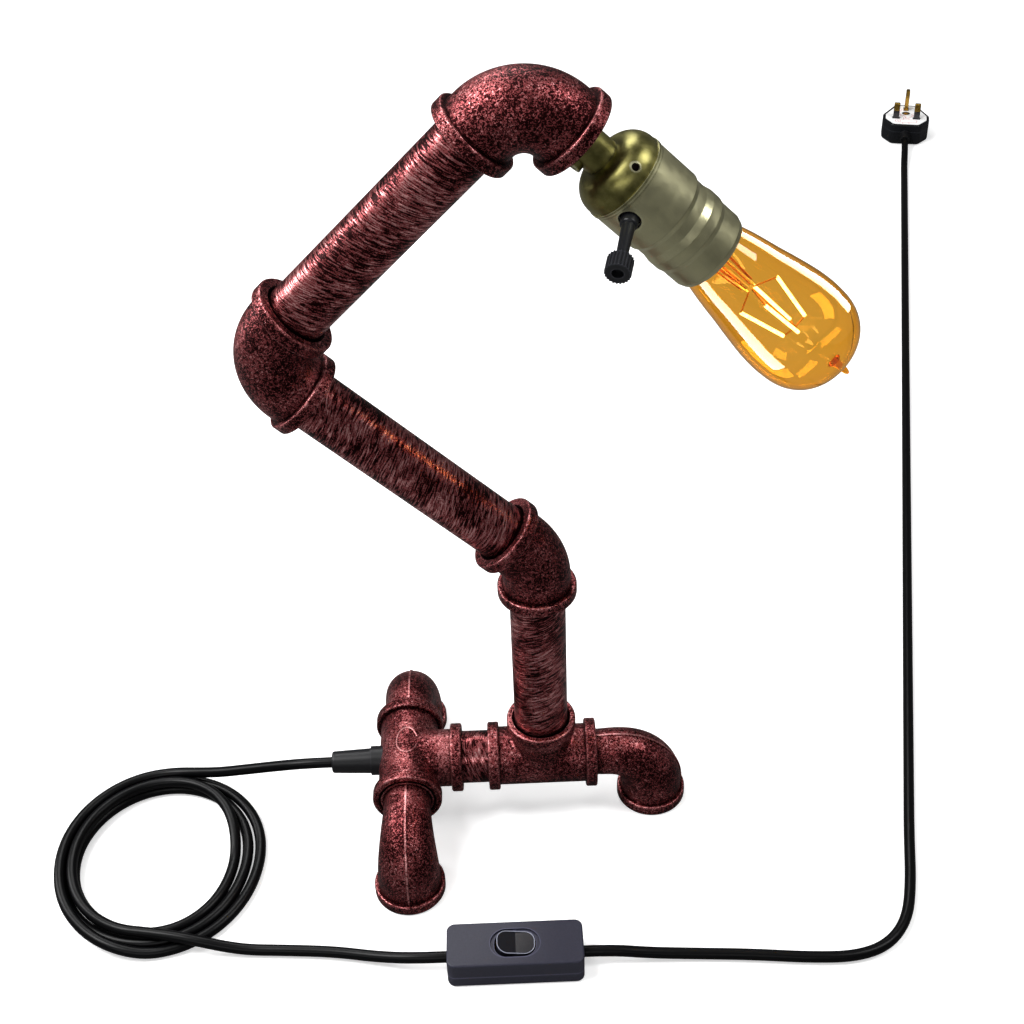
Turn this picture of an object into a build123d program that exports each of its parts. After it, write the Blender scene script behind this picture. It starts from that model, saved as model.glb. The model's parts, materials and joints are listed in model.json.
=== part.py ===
"""Table lamp built from screwed pipe fittings, with a key-switch lampholder, a bulb and a mains lead.

Frame: origin on the table under the middle of the lamp's own outline, +Z up, +X towards the bulb,
-Y towards the front foot. Sizes are in millimetres. The lamp stands at rest as it is modelled.
"""
import math
import os

from build123d import *

# ---- pipe and screwed fittings ------------------------------------------------------------------
PIPE_OD = 33.7              # one inch nominal pipe
PIPE_BORE = 27.2
THREAD_GAP = 0.05           # radial gap between a pipe and the socket it is screwed into
SOCKET_DEPTH = 15.0         # how far a socket reaches into a fitting
END_GAP = 0.5               # from the end of a pipe to the floor of its socket
BEAD_WIDTH = 7.2            # reinforcing band round every mouth
BEAD_ROUND = 1.2
MOUTH_FLARE = 1.8           # countersink round the pipe at every mouth
PASSAGE_OD = 26.0           # passage inside the fittings

TEE_REACH = 35.0            # centre to face
TEE_BODY_OD = 37.6
TEE_BRANCH_STEP = 0.6       # branch thinner than the run
TEE_BEAD_STEP = 6.4         # bead thicker than the run
TEE_BLEND = 3.0             # casting radius between run and branch

ELBOW_REACH = 37.2          # corner to face
ELBOW_BEND = 26.5
ELBOW_BODY_OD = 41.4
ELBOW_BEAD_OD = 48.2

OFFSET_ANGLE = 45.0         # the elbow on top of the post
OFFSET_REACH = 27.5
OFFSET_BEND = 36.0
OFFSET_BODY_OD = 40.4
OFFSET_BEAD_OD = 47.4

LEG_REACH = 36.5            # tee face to the leg's corner
LEG_DROP = 40.0             # pipe axis to the table
LEG_BEND = 26.0
LEG_THREAD = 14.0           # male thread inside the tee
LEG_NECK_OD = 29.6
LEG_BODY_OD = 39.4
LEG_BORE = 21.0
FOOT_BEAD_OD = 44.6
SEAM_WIDTH = 1.1            # casting seam along the back of each leg
SEAM_HEIGHT = 0.7
LEG_STATIONS = 7

NIPPLE_SHOWN = 17.0         # pipe seen between the two tees
POST_SHOWN = 108.0          # pipe seen between fittings
LOWER_SHOWN = 142.0
UPPER_SHOWN = 131.5
POST_X = -8.0               # post axis from the middle of the outline

# ---- flexible lead ------------------------------------------------------------------------------
CORD_OD = 7.0
CLEARANCE = 0.1             # radial gap of holes that something passes through
LEAD_BEND = 18.0            # bend of the flex inside the fittings
STRAND_OD = 2.2             # insulated cores at the lampholder's terminals

GLAND_LENGTH = 31.0
GLAND_ROOT_OD = 16.8
GLAND_TIP_OD = 14.0
GLAND_TIP_ROUND = 1.5
GLAND_COLLAR_OD = 19.0
GLAND_COLLAR_WIDTH = 5.5
GLAND_THREAD_OD = 12.0
GLAND_NUT_AF = 15.0
GLAND_NUT_THICK = 3.0
GLAND_NUT_INSET = 3.4       # nut's face from the middle of the tee's wall inside
GLAND_SADDLE = 5.0          # how far the collar's skirt reaches round the tee

# ---- head: distances are measured from the top elbow's corner along the head's axis --------------
BUSH_RECESS = 1.0           # reducing bush lies this far inside the elbow's mouth
TUBE_OD = 10.0              # threaded tube that carries the lampholder
TUBE_BORE = 7.8
TUBE_START = 16.5
BUSH_HUB_OD = 20.0
LOCKNUT_AF = 14.0
LOCKNUT_THICK = 3.5
RUNNING_GAP = 0.05          # radial gap of turning pieces
FACE_GAP = 0.3              # gap between faces that move past each other

CAP_NECK_OD = 19.6
CAP_NECK_END = 54.0
CAP_OD = 46.8
CAP_SHOULDER = 12.8
CAP_END = 71.0
CAP_WALL = 1.2
CAP_LIP = 0.5               # rolled lip proud of the cap's skirt
CAP_LIP_WIDTH = 1.8
CAP_HOLE_OD = 4.0
CAP_HOLE_AT = 62.0
CAP_HOLE_ANGLE = -36.0      # round the head's axis, from the side that faces -Y
BOSS_OD = 7.6               # boss on the neck for the grub screw
BOSS_AT = 45.0
BOSS_ANGLE = 62.0
BOSS_TOP = 12.8             # from the head's axis
GRUB_OD = 4.0
GRUB_LENGTH = 6.5
GRUB_SLOT = 0.8             # width and depth of the screwdriver slot

SHELL_WALL = 1.0
SHELL_TUCK = 5.0            # how far the shell reaches up inside the cap
SHELL_OD = 47.0             # switch chamber
SHELL_WAIST_OD = 44.6
SHELL_WAIST_AT = 102.0
SHELL_RING_OD = 46.4
SHELL_RING_AT = 112.0
SHELL_MOUTH_OD = 44.8
SHELL_STEP = 2.8            # length of each spun step along the axis
SHELL_ROUND = 1.2
SHELL_END = 131.5
SHELL_RIM_OD = 43.0
KEY_AT = 78.5
KEY_ANGLE = 19.0
KEY_SLOT_LENGTH = 12.0
KEY_SLOT_WIDTH = 10.5

LINER_WALL = 0.8
LINER_GAP = 0.3
LINER_END = 116.0
BODY_OD = 36.0              # moulded switch block
BODY_START = 59.0
BODY_END = 85.0
TERMINAL_OD = 5.0
TERMINAL_LENGTH = 7.0
TERMINAL_SPREAD = 24.0
TERMINAL_ROOM = 3.0         # pocket wider than a terminal
SCREW_SHELL_BORE = 26.2
SCREW_SHELL_WALL = 0.8
SCREW_SHELL_END = 115.0
SCREW_SHELL_FLANGE_OD = 33.0
CONTACT_WIDTH = 7.0
CONTACT_LENGTH = 15.0
CONTACT_THICK = 0.8
CONTACT_RISE = 3.4

KEY_STEM_OD = 7.6           # where it leaves the block
KEY_STEM_TAPER = 1.5        # degrees a side
KEY_HUB_OD = 9.0
KEY_HUB_TOP = 27.5          # from the head's axis
KEY_HUB_ROUND = 1.5
KEY_SEAT = 14.0             # where the stem starts inside the block
KEY_KNOB_OD = 12.2
KEY_KNOB_BORE = 6.0
KEY_KNOB_RECESS = 4.0
KEY_KNOB_START = 50.5
KEY_KNOB_END = 60.0
KEY_PLUNGE = 2.0            # stem's reach into the knob
KEY_RIBS = 22
KEY_RIB_OD = 1.1

# ---- bulb ---------------------------------------------------------------------------------------
BULB_CAP_OD = 26.1
BULB_CAP_WALL = 0.5
BULB_CAP_END = 116.0
BULB_SHOULDER = 2.5
BULB_FOOT_OD = 15.0
BULB_FOOT_SHOWN = 1.8       # glass insulator between the contact and the cap
BULB_CONTACT_OD = 9.0
BULB_CONTACT_THICK = 1.5
GLASS_WALL = 0.9
GLASS_NECK_OD = 24.6
GLASS_START = 109.0
GLASS_MOUTH_OD = 36.8
GLASS_SHOULDER_OD = 49.6
GLASS_SHOULDER_AT = 160.5
GLASS_OD = 60.6
GLASS_WIDEST_AT = 194.0
GLASS_END = 230.0
PIP_OD = 6.0
PIP_LENGTH = 12.0
PIP_TAPER = 9.0
STEM_OD = 6.0
STEM_FLARE_LENGTH = 10.0
STEM_PINCH = 2.0            # stem's foot inside the cap
STEM_END = 162.0
FILAMENTS = 4
FILAMENT_OD = 1.9
FILAMENT_START = 169.0
FILAMENT_END = 197.0
FILAMENT_TOP_SPREAD = 13.0  # from the bulb's axis
FILAMENT_FOOT_SPREAD = 7.6
FILAMENT_ANGLE = 81.0
WIRE_OD = 0.9

# ---- lead on the table --------------------------------------------------------------------------
COIL_CENTRE = (-256.0, -43.5)
COIL_WIDTH = 134.0
COIL_DEPTH = 154.0
COIL_BAND = 22.0
COIL_HEIGHT = 15.0
COIL_ROUND = 3.0

SWITCH_CENTRE = (-30.0, -131.0)
SWITCH_LENGTH = 82.0
SWITCH_WIDTH = 31.0
SWITCH_HEIGHT = 20.0
SWITCH_SPLIT = 8.5          # height of the parting line
SWITCH_WALL = 2.0
SWITCH_ROOF = 3.2
SWITCH_BOSS_OD = 8.4
SWITCH_CORNER = 5.0
SWITCH_EDGE = 1.2
SWITCH_CORD_HEIGHT = 8.5
WELL_LENGTH = 30.0
WELL_WIDTH = 20.0
WELL_DEPTH = 1.2
ROCKER_LENGTH = 23.0
ROCKER_WIDTH = 16.0
ROCKER_GAP = 0.9
ROCKER_ROUND = 6.5          # corners of the rocker in plan
ROCKER_PROUD = 0.8          # middle of the rocker above the well's floor
ROCKER_PIVOT_DEPTH = 2.0    # pivot below the well's floor
ROCKER_SKIRT = 2.0          # full-length part of the rocker's side
ROCKER_KEEL = 4.0           # rocker below its pivot
ROCKER_TILT = 7.0           # slope of each half of the rocker's top
ROCKER_REST = 7.0           # how far the rocker is pressed over at rest
ROCKER_PIVOT_OD = 3.0
PIVOT_BOSS = 3.0
SWITCH_SCREW_OD = 3.0
SWITCH_SCREW_HEAD_OD = 5.6
SWITCH_SCREW_LENGTH = 12.0
SWITCH_HEAD_DEPTH = 3.0
SWITCH_HEAD_RECESS = 0.6
SWITCH_SCREW_SPREAD = 46.0
SWITCH_TERMINAL = (7.0, 6.0, 5.0)
SWITCH_TERMINAL_SPREAD = 30.0
CONTACT_STRIP_WIDTH = 3.0

PLUG_FACE = (429.0, 910.0)  # middle of the plug's cord end
PLUG_TURN = -12.0           # of the plug's own +Y from the frame's +Y
PLUG_LENGTH = 51.5
PLUG_WIDTH = 50.0
PLUG_TOP_WIDTH = 23.0
PLUG_FOOT_WIDTH = 30.0
PLUG_SHOULDER = (14.0, 26.0)
PLUG_CORNER = 7.0
PLUG_COVER_HEIGHT = 15.0
PLUG_BASE_HEIGHT = 8.0
PLUG_WALL = 2.4
PLUG_EDGE = 3.0
PLUG_FACE_EDGE = 0.8
PLUG_BOSS_OD = 8.0
PLUG_CORD_HEIGHT = 11.0
PIN_LINE_V = 18.3           # line and neutral pins from the cord end
PIN_PITCH = 22.2
PIN_SPACING = 22.2
PIN_SIZE = (6.35, 4.0)
PIN_REACH = 17.7
EARTH_SIZE = (4.0, 8.0)
EARTH_REACH = 22.7
PIN_ROOT = 6.0
PIN_EDGE = 0.8
CARD_THICK = 0.3
CARD_MARGIN = 3.0
CARD_HOLE_GAP = 0.8
GROMMET_LENGTH = 12.0
GROMMET_RUN = 16.0          # straight flex before the plug
GROMMET_ROOT_OD = 12.5
GROMMET_TIP_OD = 9.6
GROMMET_NECK_OD = 7.0
GROMMET_INSIDE = 3.0
FUSE_OD = 6.3
FUSE_LENGTH = 25.4
PLUG_SCREW_OD = 3.5
PLUG_SCREW_HEAD_OD = 7.0
PLUG_SCREW_HEAD_DEPTH = 3.0
PLUG_SCREW_LENGTH = 14.0
PLUG_SCREW_V = 30.0

# ---- worked-out places --------------------------------------------------------------------------
FRONT = Vector(0, -1, 0)
UP = Vector(0, 0, 1)
PIPE_IN = SOCKET_DEPTH - END_GAP
SOCKET_OD = PIPE_OD + 2 * THREAD_GAP
TEE_BRANCH_OD = TEE_BODY_OD - TEE_BRANCH_STEP
TEE_BEAD_OD = TEE_BODY_OD + TEE_BEAD_STEP

post_corner = Vector(POST_X, 0, LEG_DROP)
side_corner = post_corner - Vector(2 * TEE_REACH + NIPPLE_SHOWN, 0, 0)
low_dir = UP.rotate(Axis.Y, -OFFSET_ANGLE)
up_dir = low_dir.rotate(Axis.Y, 90)
head_dir = up_dir.rotate(Axis.Y, 90)
offset_corner = post_corner + UP * (TEE_REACH + POST_SHOWN + OFFSET_REACH)
knee_corner = offset_corner + low_dir * (OFFSET_REACH + LOWER_SHOWN + ELBOW_REACH)
top_corner = knee_corner + up_dir * (2 * ELBOW_REACH + UPPER_SHOWN)


def along(corner, direction, distance):
    """Plane square to a pipe run, its x axis towards the front."""
    return Plane(origin=corner + direction * distance, x_dir=FRONT, z_dir=direction)


def head_at(distance):
    return along(top_corner, head_dir, distance)


def head_side(distance, angle, height=0.0):
    """Plane on the head whose z axis points straight out, turned round the head's axis."""
    outward = FRONT.rotate(Axis((0, 0, 0), head_dir), angle)
    origin = top_corner + head_dir * distance + outward * height
    return Plane(origin=origin, x_dir=head_dir, z_dir=outward)


# ---- pipe and fittings ---------------------------------------------------------------------------
def pipe(start, length):
    """Plain pipe from a plane along its z axis."""
    with BuildPart() as tube:
        with BuildSketch(start):
            Circle(PIPE_OD / 2)
            Circle(PIPE_BORE / 2, mode=Mode.SUBTRACT)
        extrude(amount=length)
    return tube


def fitting_path(corner, travel_in, travel_out, reach, bend):
    """Centre line of an elbow: a straight, an arc and a straight."""
    start = corner - travel_in * reach
    end = corner + travel_out * reach
    with BuildLine() as line:
        FilletPolyline(start, corner, end, radius=bend)
    return line.line


def elbow(corner, travel_in, travel_out, reach, bend, body_od, bead_od):
    """Cast elbow with a bead and a pipe socket at both mouths."""
    path = fitting_path(corner, travel_in, travel_out, reach, bend)
    mouths = [
        Plane(origin=corner - travel_in * reach, x_dir=FRONT, z_dir=travel_in),
        Plane(origin=corner + travel_out * reach, x_dir=FRONT, z_dir=-travel_out),
    ]
    with BuildPart() as casting:
        with BuildSketch(mouths[0]):
            Circle(body_od / 2)
        sweep(path=path)
        for mouth in mouths:
            with BuildSketch(mouth):
                Circle(bead_od / 2)
            extrude(amount=BEAD_WIDTH)
        rims = casting.edges().filter_by(GeomType.CIRCLE)
        fillet(rims.filter_by(lambda e: abs(e.radius - bead_od / 2) < 1e-3), BEAD_ROUND)
        with BuildSketch(mouths[0]):
            Circle(PASSAGE_OD / 2)
        sweep(path=path, mode=Mode.SUBTRACT)
        for mouth in mouths:
            with BuildSketch(mouth):
                Circle(SOCKET_OD / 2)
            extrude(amount=SOCKET_DEPTH, mode=Mode.SUBTRACT)
            with BuildSketch(mouth):
                Circle(SOCKET_OD / 2 + MOUTH_FLARE)
            extrude(amount=MOUTH_FLARE, taper=45, mode=Mode.SUBTRACT)
    return casting


def tee(centre, run, branch, gland_hole=False):
    """Cast tee: a run with two mouths and a branch, each with a bead and a socket."""
    side = run.cross(branch)
    mouths = [
        Plane(origin=centre + way * TEE_REACH, x_dir=side, z_dir=-way)
        for way in (run, -run, branch)
    ]
    with BuildPart() as casting:
        with BuildSketch(mouths[0]):
            Circle(TEE_BODY_OD / 2)
        extrude(amount=2 * TEE_REACH)
        with BuildSketch(mouths[2]):
            Circle(TEE_BRANCH_OD / 2)
        extrude(amount=TEE_REACH)
        fillet(casting.edges().filter_by(GeomType.BSPLINE), TEE_BLEND)
        for mouth in mouths:
            with BuildSketch(mouth):
                Circle(TEE_BEAD_OD / 2)
            extrude(amount=BEAD_WIDTH)
        rims = casting.edges().filter_by(GeomType.CIRCLE)
        fillet(rims.filter_by(lambda e: abs(e.radius - TEE_BEAD_OD / 2) < 1e-3), BEAD_ROUND)
        with BuildSketch(mouths[0]):
            Circle(PASSAGE_OD / 2)
        extrude(amount=2 * TEE_REACH, mode=Mode.SUBTRACT)
        with BuildSketch(mouths[2]):
            Circle(PASSAGE_OD / 2)
        extrude(amount=TEE_REACH, mode=Mode.SUBTRACT)
        for mouth in mouths:
            with BuildSketch(mouth):
                Circle(SOCKET_OD / 2)
            extrude(amount=SOCKET_DEPTH, mode=Mode.SUBTRACT)
            with BuildSketch(mouth):
                Circle(SOCKET_OD / 2 + MOUTH_FLARE)
            extrude(amount=MOUTH_FLARE, taper=45, mode=Mode.SUBTRACT)
        if gland_hole:
            with BuildSketch(Plane(origin=centre, x_dir=run, z_dir=-branch)):
                Circle(GLAND_THREAD_OD / 2 + CLEARANCE)
            extrude(amount=TEE_BODY_OD, mode=Mode.SUBTRACT)
    return casting


def street_elbow(face, travel):
    """Leg: male thread in the tee, a neck that swells round the bend, and a beaded open foot."""
    down = -UP
    side = travel.cross(UP)
    corner = face + travel * LEG_REACH
    with BuildLine() as line:
        FilletPolyline(face, corner, corner + down * LEG_DROP, radius=LEG_BEND)
    path = line.line
    grown = (LEG_BODY_OD - LEG_NECK_OD) / 2

    def body(extra):
        """Sections of the leg from the neck to the foot, each larger by extra."""
        for step in range(LEG_STATIONS):
            share = step / (LEG_STATIONS - 1)
            swell = grown * (1 - math.cos(math.pi * min(1, share * 1.15))) / 2
            station = Plane(origin=path @ share, x_dir=side, z_dir=path % share)
            yield station, LEG_NECK_OD / 2 + swell + extra

    with BuildPart() as seam:
        for station, radius in body(SEAM_HEIGHT):
            with BuildSketch(station):
                Circle(radius)
        loft()
        with BuildSketch(Plane(origin=corner, x_dir=travel, z_dir=side)):
            Rectangle(4 * LEG_DROP, 4 * LEG_DROP)
        extrude(amount=SEAM_WIDTH / 2, both=True, mode=Mode.INTERSECT)
    with BuildPart() as leg:
        for station, radius in body(0):
            with BuildSketch(station):
                Circle(radius)
        loft()
        add(seam.part)
        with BuildSketch(Plane(origin=face, x_dir=side, z_dir=-travel)):
            Circle(PIPE_OD / 2)
        extrude(amount=LEG_THREAD)
        with BuildSketch(Plane(origin=corner + down * LEG_DROP, x_dir=side, z_dir=UP)):
            Circle(FOOT_BEAD_OD / 2)
        extrude(amount=BEAD_WIDTH)
        rims = leg.edges().filter_by(GeomType.CIRCLE)
        fillet(rims.filter_by(lambda e: abs(e.radius - FOOT_BEAD_OD / 2) < 1e-3), BEAD_ROUND)
        with BuildSketch(Plane(origin=face, x_dir=side, z_dir=travel)):
            Circle(LEG_BORE / 2)
        sweep(path=path, mode=Mode.SUBTRACT)
        with BuildSketch(Plane(origin=face, x_dir=side, z_dir=-travel)):
            Circle(LEG_BORE / 2)
        extrude(amount=LEG_THREAD, mode=Mode.SUBTRACT)
        with BuildSketch(Plane(origin=corner + down * LEG_DROP, x_dir=side, z_dir=UP)):
            Circle(SOCKET_OD / 2)
        extrude(amount=SOCKET_DEPTH, mode=Mode.SUBTRACT)
    return leg


RIGHT = Vector(1, 0, 0)
BACK = -FRONT
tee_side = tee(side_corner, BACK, RIGHT, gland_hole=True)
tee_post = tee(post_corner, RIGHT, UP)
close_nipple = pipe(
    Plane(origin=side_corner + RIGHT * (TEE_REACH - PIPE_IN), x_dir=FRONT, z_dir=RIGHT),
    NIPPLE_SHOWN + 2 * PIPE_IN,
)
leg_elbow_front = street_elbow(side_corner + FRONT * TEE_REACH, FRONT)
leg_elbow_rear = street_elbow(side_corner + BACK * TEE_REACH, BACK)
leg_elbow_side = street_elbow(post_corner + RIGHT * TEE_REACH, RIGHT)

post_pipe = pipe(along(post_corner, UP, TEE_REACH - PIPE_IN), POST_SHOWN + 2 * PIPE_IN)
elbow_45 = elbow(
    offset_corner, UP, low_dir, OFFSET_REACH, OFFSET_BEND, OFFSET_BODY_OD, OFFSET_BEAD_OD
)
lower_arm_pipe = pipe(
    along(offset_corner, low_dir, OFFSET_REACH - PIPE_IN), LOWER_SHOWN + 2 * PIPE_IN
)
knee_elbow = elbow(
    knee_corner, low_dir, up_dir, ELBOW_REACH, ELBOW_BEND, ELBOW_BODY_OD, ELBOW_BEAD_OD
)
upper_arm_pipe = pipe(along(knee_corner, up_dir, ELBOW_REACH - PIPE_IN), UPPER_SHOWN + 2 * PIPE_IN)
top_elbow = elbow(
    top_corner, up_dir, head_dir, ELBOW_REACH, ELBOW_BEND, ELBOW_BODY_OD, ELBOW_BEAD_OD
)

# ---- threaded tube that carries the lampholder ---------------------------------------------------
TUBE_END = BODY_START - STRAND_OD - FACE_GAP
BUSH_START = ELBOW_REACH - PIPE_IN
BUSH_END = ELBOW_REACH - BUSH_RECESS

with BuildPart() as reducer_bush:
    with BuildSketch(head_at(BUSH_START)):
        Circle(PIPE_OD / 2)
        Circle(TUBE_OD / 2 + THREAD_GAP, mode=Mode.SUBTRACT)
    extrude(amount=BUSH_END - BUSH_START)
    with BuildSketch(head_at(BUSH_START)):
        Circle(PIPE_BORE / 2)
        Circle(BUSH_HUB_OD / 2, mode=Mode.SUBTRACT)
    extrude(amount=PIPE_IN / 2, mode=Mode.SUBTRACT)

with BuildPart() as head_tube:
    with BuildSketch(head_at(TUBE_START)):
        Circle(TUBE_OD / 2)
        Circle(TUBE_BORE / 2, mode=Mode.SUBTRACT)
    extrude(amount=TUBE_END - TUBE_START)

with BuildPart() as tube_locknut:
    with BuildSketch(head_at(BUSH_START - LOCKNUT_THICK)):
        RegularPolygon(LOCKNUT_AF / 2, 6, major_radius=False)
        Circle(TUBE_OD / 2 + THREAD_GAP, mode=Mode.SUBTRACT)
    extrude(amount=LOCKNUT_THICK)

# ---- lampholder ----------------------------------------------------------------------------------
CAP_START = BUSH_END + FACE_GAP
HEAD_PROFILE = Plane(origin=top_corner, x_dir=FRONT, z_dir=FRONT.cross(head_dir))
HEAD_AXIS = Axis(top_corner, head_dir)


def turned(points, rounds=()):
    """Solid of revolution about the head's axis from (radius, distance) points with rounded corners."""
    with BuildPart() as solid:
        with BuildSketch(HEAD_PROFILE) as section:
            with BuildLine():
                Polyline(*points, close=True)
            make_face()
            for corner, radius in rounds:
                fillet(section.vertices().sort_by_distance(corner)[0], radius)
        revolve(axis=HEAD_AXIS)
    return solid.part


cap_r = CAP_OD / 2
with BuildPart() as socket_cap:
    add(turned(
        [(0, CAP_START), (CAP_NECK_OD / 2, CAP_START), (CAP_NECK_OD / 2, CAP_NECK_END),
         (cap_r, CAP_NECK_END), (cap_r, CAP_END), (0, CAP_END)],
        [((cap_r, CAP_NECK_END), CAP_SHOULDER)],
    ))
    with BuildSketch(head_at(CAP_END - CAP_LIP_WIDTH)):
        Circle(cap_r + CAP_LIP)
    extrude(amount=CAP_LIP_WIDTH)
    with BuildSketch(head_side(BOSS_AT, BOSS_ANGLE)):
        Circle(BOSS_OD / 2)
    extrude(amount=BOSS_TOP)
    add(turned(
        [(0, CAP_NECK_END + CAP_WALL), (cap_r - CAP_WALL, CAP_NECK_END + CAP_WALL),
         (cap_r - CAP_WALL, CAP_END), (0, CAP_END)],
        [((cap_r - CAP_WALL, CAP_NECK_END + CAP_WALL), CAP_SHOULDER - CAP_WALL)],
    ), mode=Mode.SUBTRACT)
    with BuildSketch(head_at(CAP_START)):
        Circle(TUBE_OD / 2 + RUNNING_GAP)
    extrude(amount=CAP_END - CAP_START, mode=Mode.SUBTRACT)
    with BuildSketch(head_side(BOSS_AT, BOSS_ANGLE, TUBE_OD / 2)):
        Circle(GRUB_OD / 2 + RUNNING_GAP)
    extrude(amount=BOSS_TOP, mode=Mode.SUBTRACT)
    with BuildSketch(head_side(CAP_HOLE_AT, CAP_HOLE_ANGLE)):
        Circle(CAP_HOLE_OD / 2)
    extrude(amount=CAP_OD, mode=Mode.SUBTRACT)

with BuildPart() as cap_grub_screw:
    with BuildSketch(head_side(BOSS_AT, BOSS_ANGLE, TUBE_OD / 2 + FACE_GAP)):
        Circle(GRUB_OD / 2)
    extrude(amount=GRUB_LENGTH)
    with BuildSketch(head_side(BOSS_AT, BOSS_ANGLE, TUBE_OD / 2 + FACE_GAP + GRUB_LENGTH)):
        Rectangle(GRUB_OD, GRUB_SLOT)
    extrude(amount=-GRUB_SLOT, mode=Mode.SUBTRACT)

tuck_r = cap_r - CAP_WALL - RUNNING_GAP
shell_r = SHELL_OD / 2
waist_r = SHELL_WAIST_OD / 2
ring_r = SHELL_RING_OD / 2
mouth_r = SHELL_MOUTH_OD / 2
SHELL_OUTLINE = [
    (tuck_r, CAP_END - SHELL_TUCK),
    (tuck_r, CAP_END),
    (shell_r, CAP_END),
    (shell_r, SHELL_WAIST_AT - 2 * SHELL_STEP),
    (waist_r, SHELL_WAIST_AT - SHELL_STEP),
    (waist_r, SHELL_WAIST_AT + SHELL_STEP),
    (ring_r, SHELL_RING_AT - SHELL_STEP),
    (ring_r, SHELL_RING_AT + SHELL_STEP),
    (mouth_r, SHELL_RING_AT + 2 * SHELL_STEP),
    (mouth_r, SHELL_END - SHELL_STEP),
    (SHELL_RIM_OD / 2, SHELL_END),
]
SHELL_ROUNDS = [(point, SHELL_ROUND) for point in SHELL_OUTLINE[3:9]]
key_r = KEY_SLOT_WIDTH / 2
with BuildPart() as socket_shell:
    add(turned([(0, CAP_END - SHELL_TUCK)] + SHELL_OUTLINE + [(0, SHELL_END)], SHELL_ROUNDS))
    inner = [(radius - SHELL_WALL, distance) for radius, distance in SHELL_OUTLINE]
    inner[2] = (shell_r - SHELL_WALL, CAP_END + SHELL_WALL)
    inner[1] = (tuck_r - SHELL_WALL, CAP_END + SHELL_WALL)
    add(turned([(0, CAP_END - SHELL_TUCK)] + inner + [(0, SHELL_END)]), mode=Mode.SUBTRACT)
    with BuildSketch(head_side(KEY_AT, KEY_ANGLE)):
        SlotOverall(KEY_SLOT_LENGTH, KEY_SLOT_WIDTH)
    extrude(amount=SHELL_OD, mode=Mode.SUBTRACT)

LINER_START = CAP_END + SHELL_WALL + FACE_GAP
liner_r = min(waist_r, mouth_r) - SHELL_WALL - LINER_GAP
with BuildPart() as socket_liner:
    with BuildSketch(head_at(LINER_START)):
        Circle(liner_r)
        Circle(liner_r - LINER_WALL, mode=Mode.SUBTRACT)
    extrude(amount=LINER_END - LINER_START)
    with BuildSketch(head_side(KEY_AT, KEY_ANGLE)):
        SlotOverall(KEY_SLOT_LENGTH, KEY_SLOT_WIDTH)
    extrude(amount=SHELL_OD, mode=Mode.SUBTRACT)

with BuildPart() as socket_body:
    with BuildSketch(head_at(BODY_START)):
        Circle(BODY_OD / 2)
    extrude(amount=BODY_END - BODY_START)
    with BuildSketch(head_at(BODY_START)):
        for side in (-1, 1):
            with Locations((0, side * TERMINAL_SPREAD / 2)):
                Rectangle(TERMINAL_OD + TERMINAL_ROOM, TERMINAL_OD + TERMINAL_ROOM)
    extrude(amount=TERMINAL_LENGTH, mode=Mode.SUBTRACT)
    with BuildSketch(head_side(KEY_AT, KEY_ANGLE, KEY_SEAT - FACE_GAP)):
        Circle(KEY_HUB_OD / 2 + RUNNING_GAP)
    extrude(amount=BODY_OD, mode=Mode.SUBTRACT)

with BuildPart() as socket_terminals:
    with BuildSketch(head_at(BODY_START + TERMINAL_LENGTH)):
        for side in (-1, 1):
            with Locations((0, side * TERMINAL_SPREAD / 2)):
                Circle(TERMINAL_OD / 2)
    extrude(amount=-TERMINAL_LENGTH)

with BuildPart() as socket_screw_shell:
    with BuildSketch(head_at(BODY_END)):
        Circle(SCREW_SHELL_FLANGE_OD / 2)
        Circle(SCREW_SHELL_BORE / 2, mode=Mode.SUBTRACT)
    extrude(amount=SCREW_SHELL_WALL)
    with BuildSketch(head_at(BODY_END)):
        Circle(SCREW_SHELL_BORE / 2 + SCREW_SHELL_WALL)
        Circle(SCREW_SHELL_BORE / 2, mode=Mode.SUBTRACT)
    extrude(amount=SCREW_SHELL_END - BODY_END)

with BuildPart() as socket_centre_contact:
    with BuildSketch(head_at(BODY_END)):
        Rectangle(CONTACT_LENGTH, CONTACT_WIDTH)
    extrude(amount=CONTACT_THICK)
    with BuildSketch(head_at(BODY_END + CONTACT_THICK)):
        Circle(CONTACT_WIDTH / 2)
    extrude(amount=CONTACT_RISE - CONTACT_THICK, taper=12)

# ---- key of the lampholder's switch --------------------------------------------------------------
with BuildPart() as key_stem:
    with BuildSketch(head_side(KEY_AT, KEY_ANGLE, KEY_SEAT)):
        Circle(KEY_HUB_OD / 2)
    extrude(amount=KEY_HUB_TOP - KEY_SEAT)
    fillet(key_stem.faces().sort_by(Axis((0, 0, 0), FRONT))[-1].edges(), KEY_HUB_ROUND)
    with BuildSketch(head_side(KEY_AT, KEY_ANGLE, KEY_SEAT)):
        Circle(KEY_STEM_OD / 2)
    extrude(amount=KEY_KNOB_START + KEY_PLUNGE - KEY_SEAT, taper=KEY_STEM_TAPER)

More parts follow.
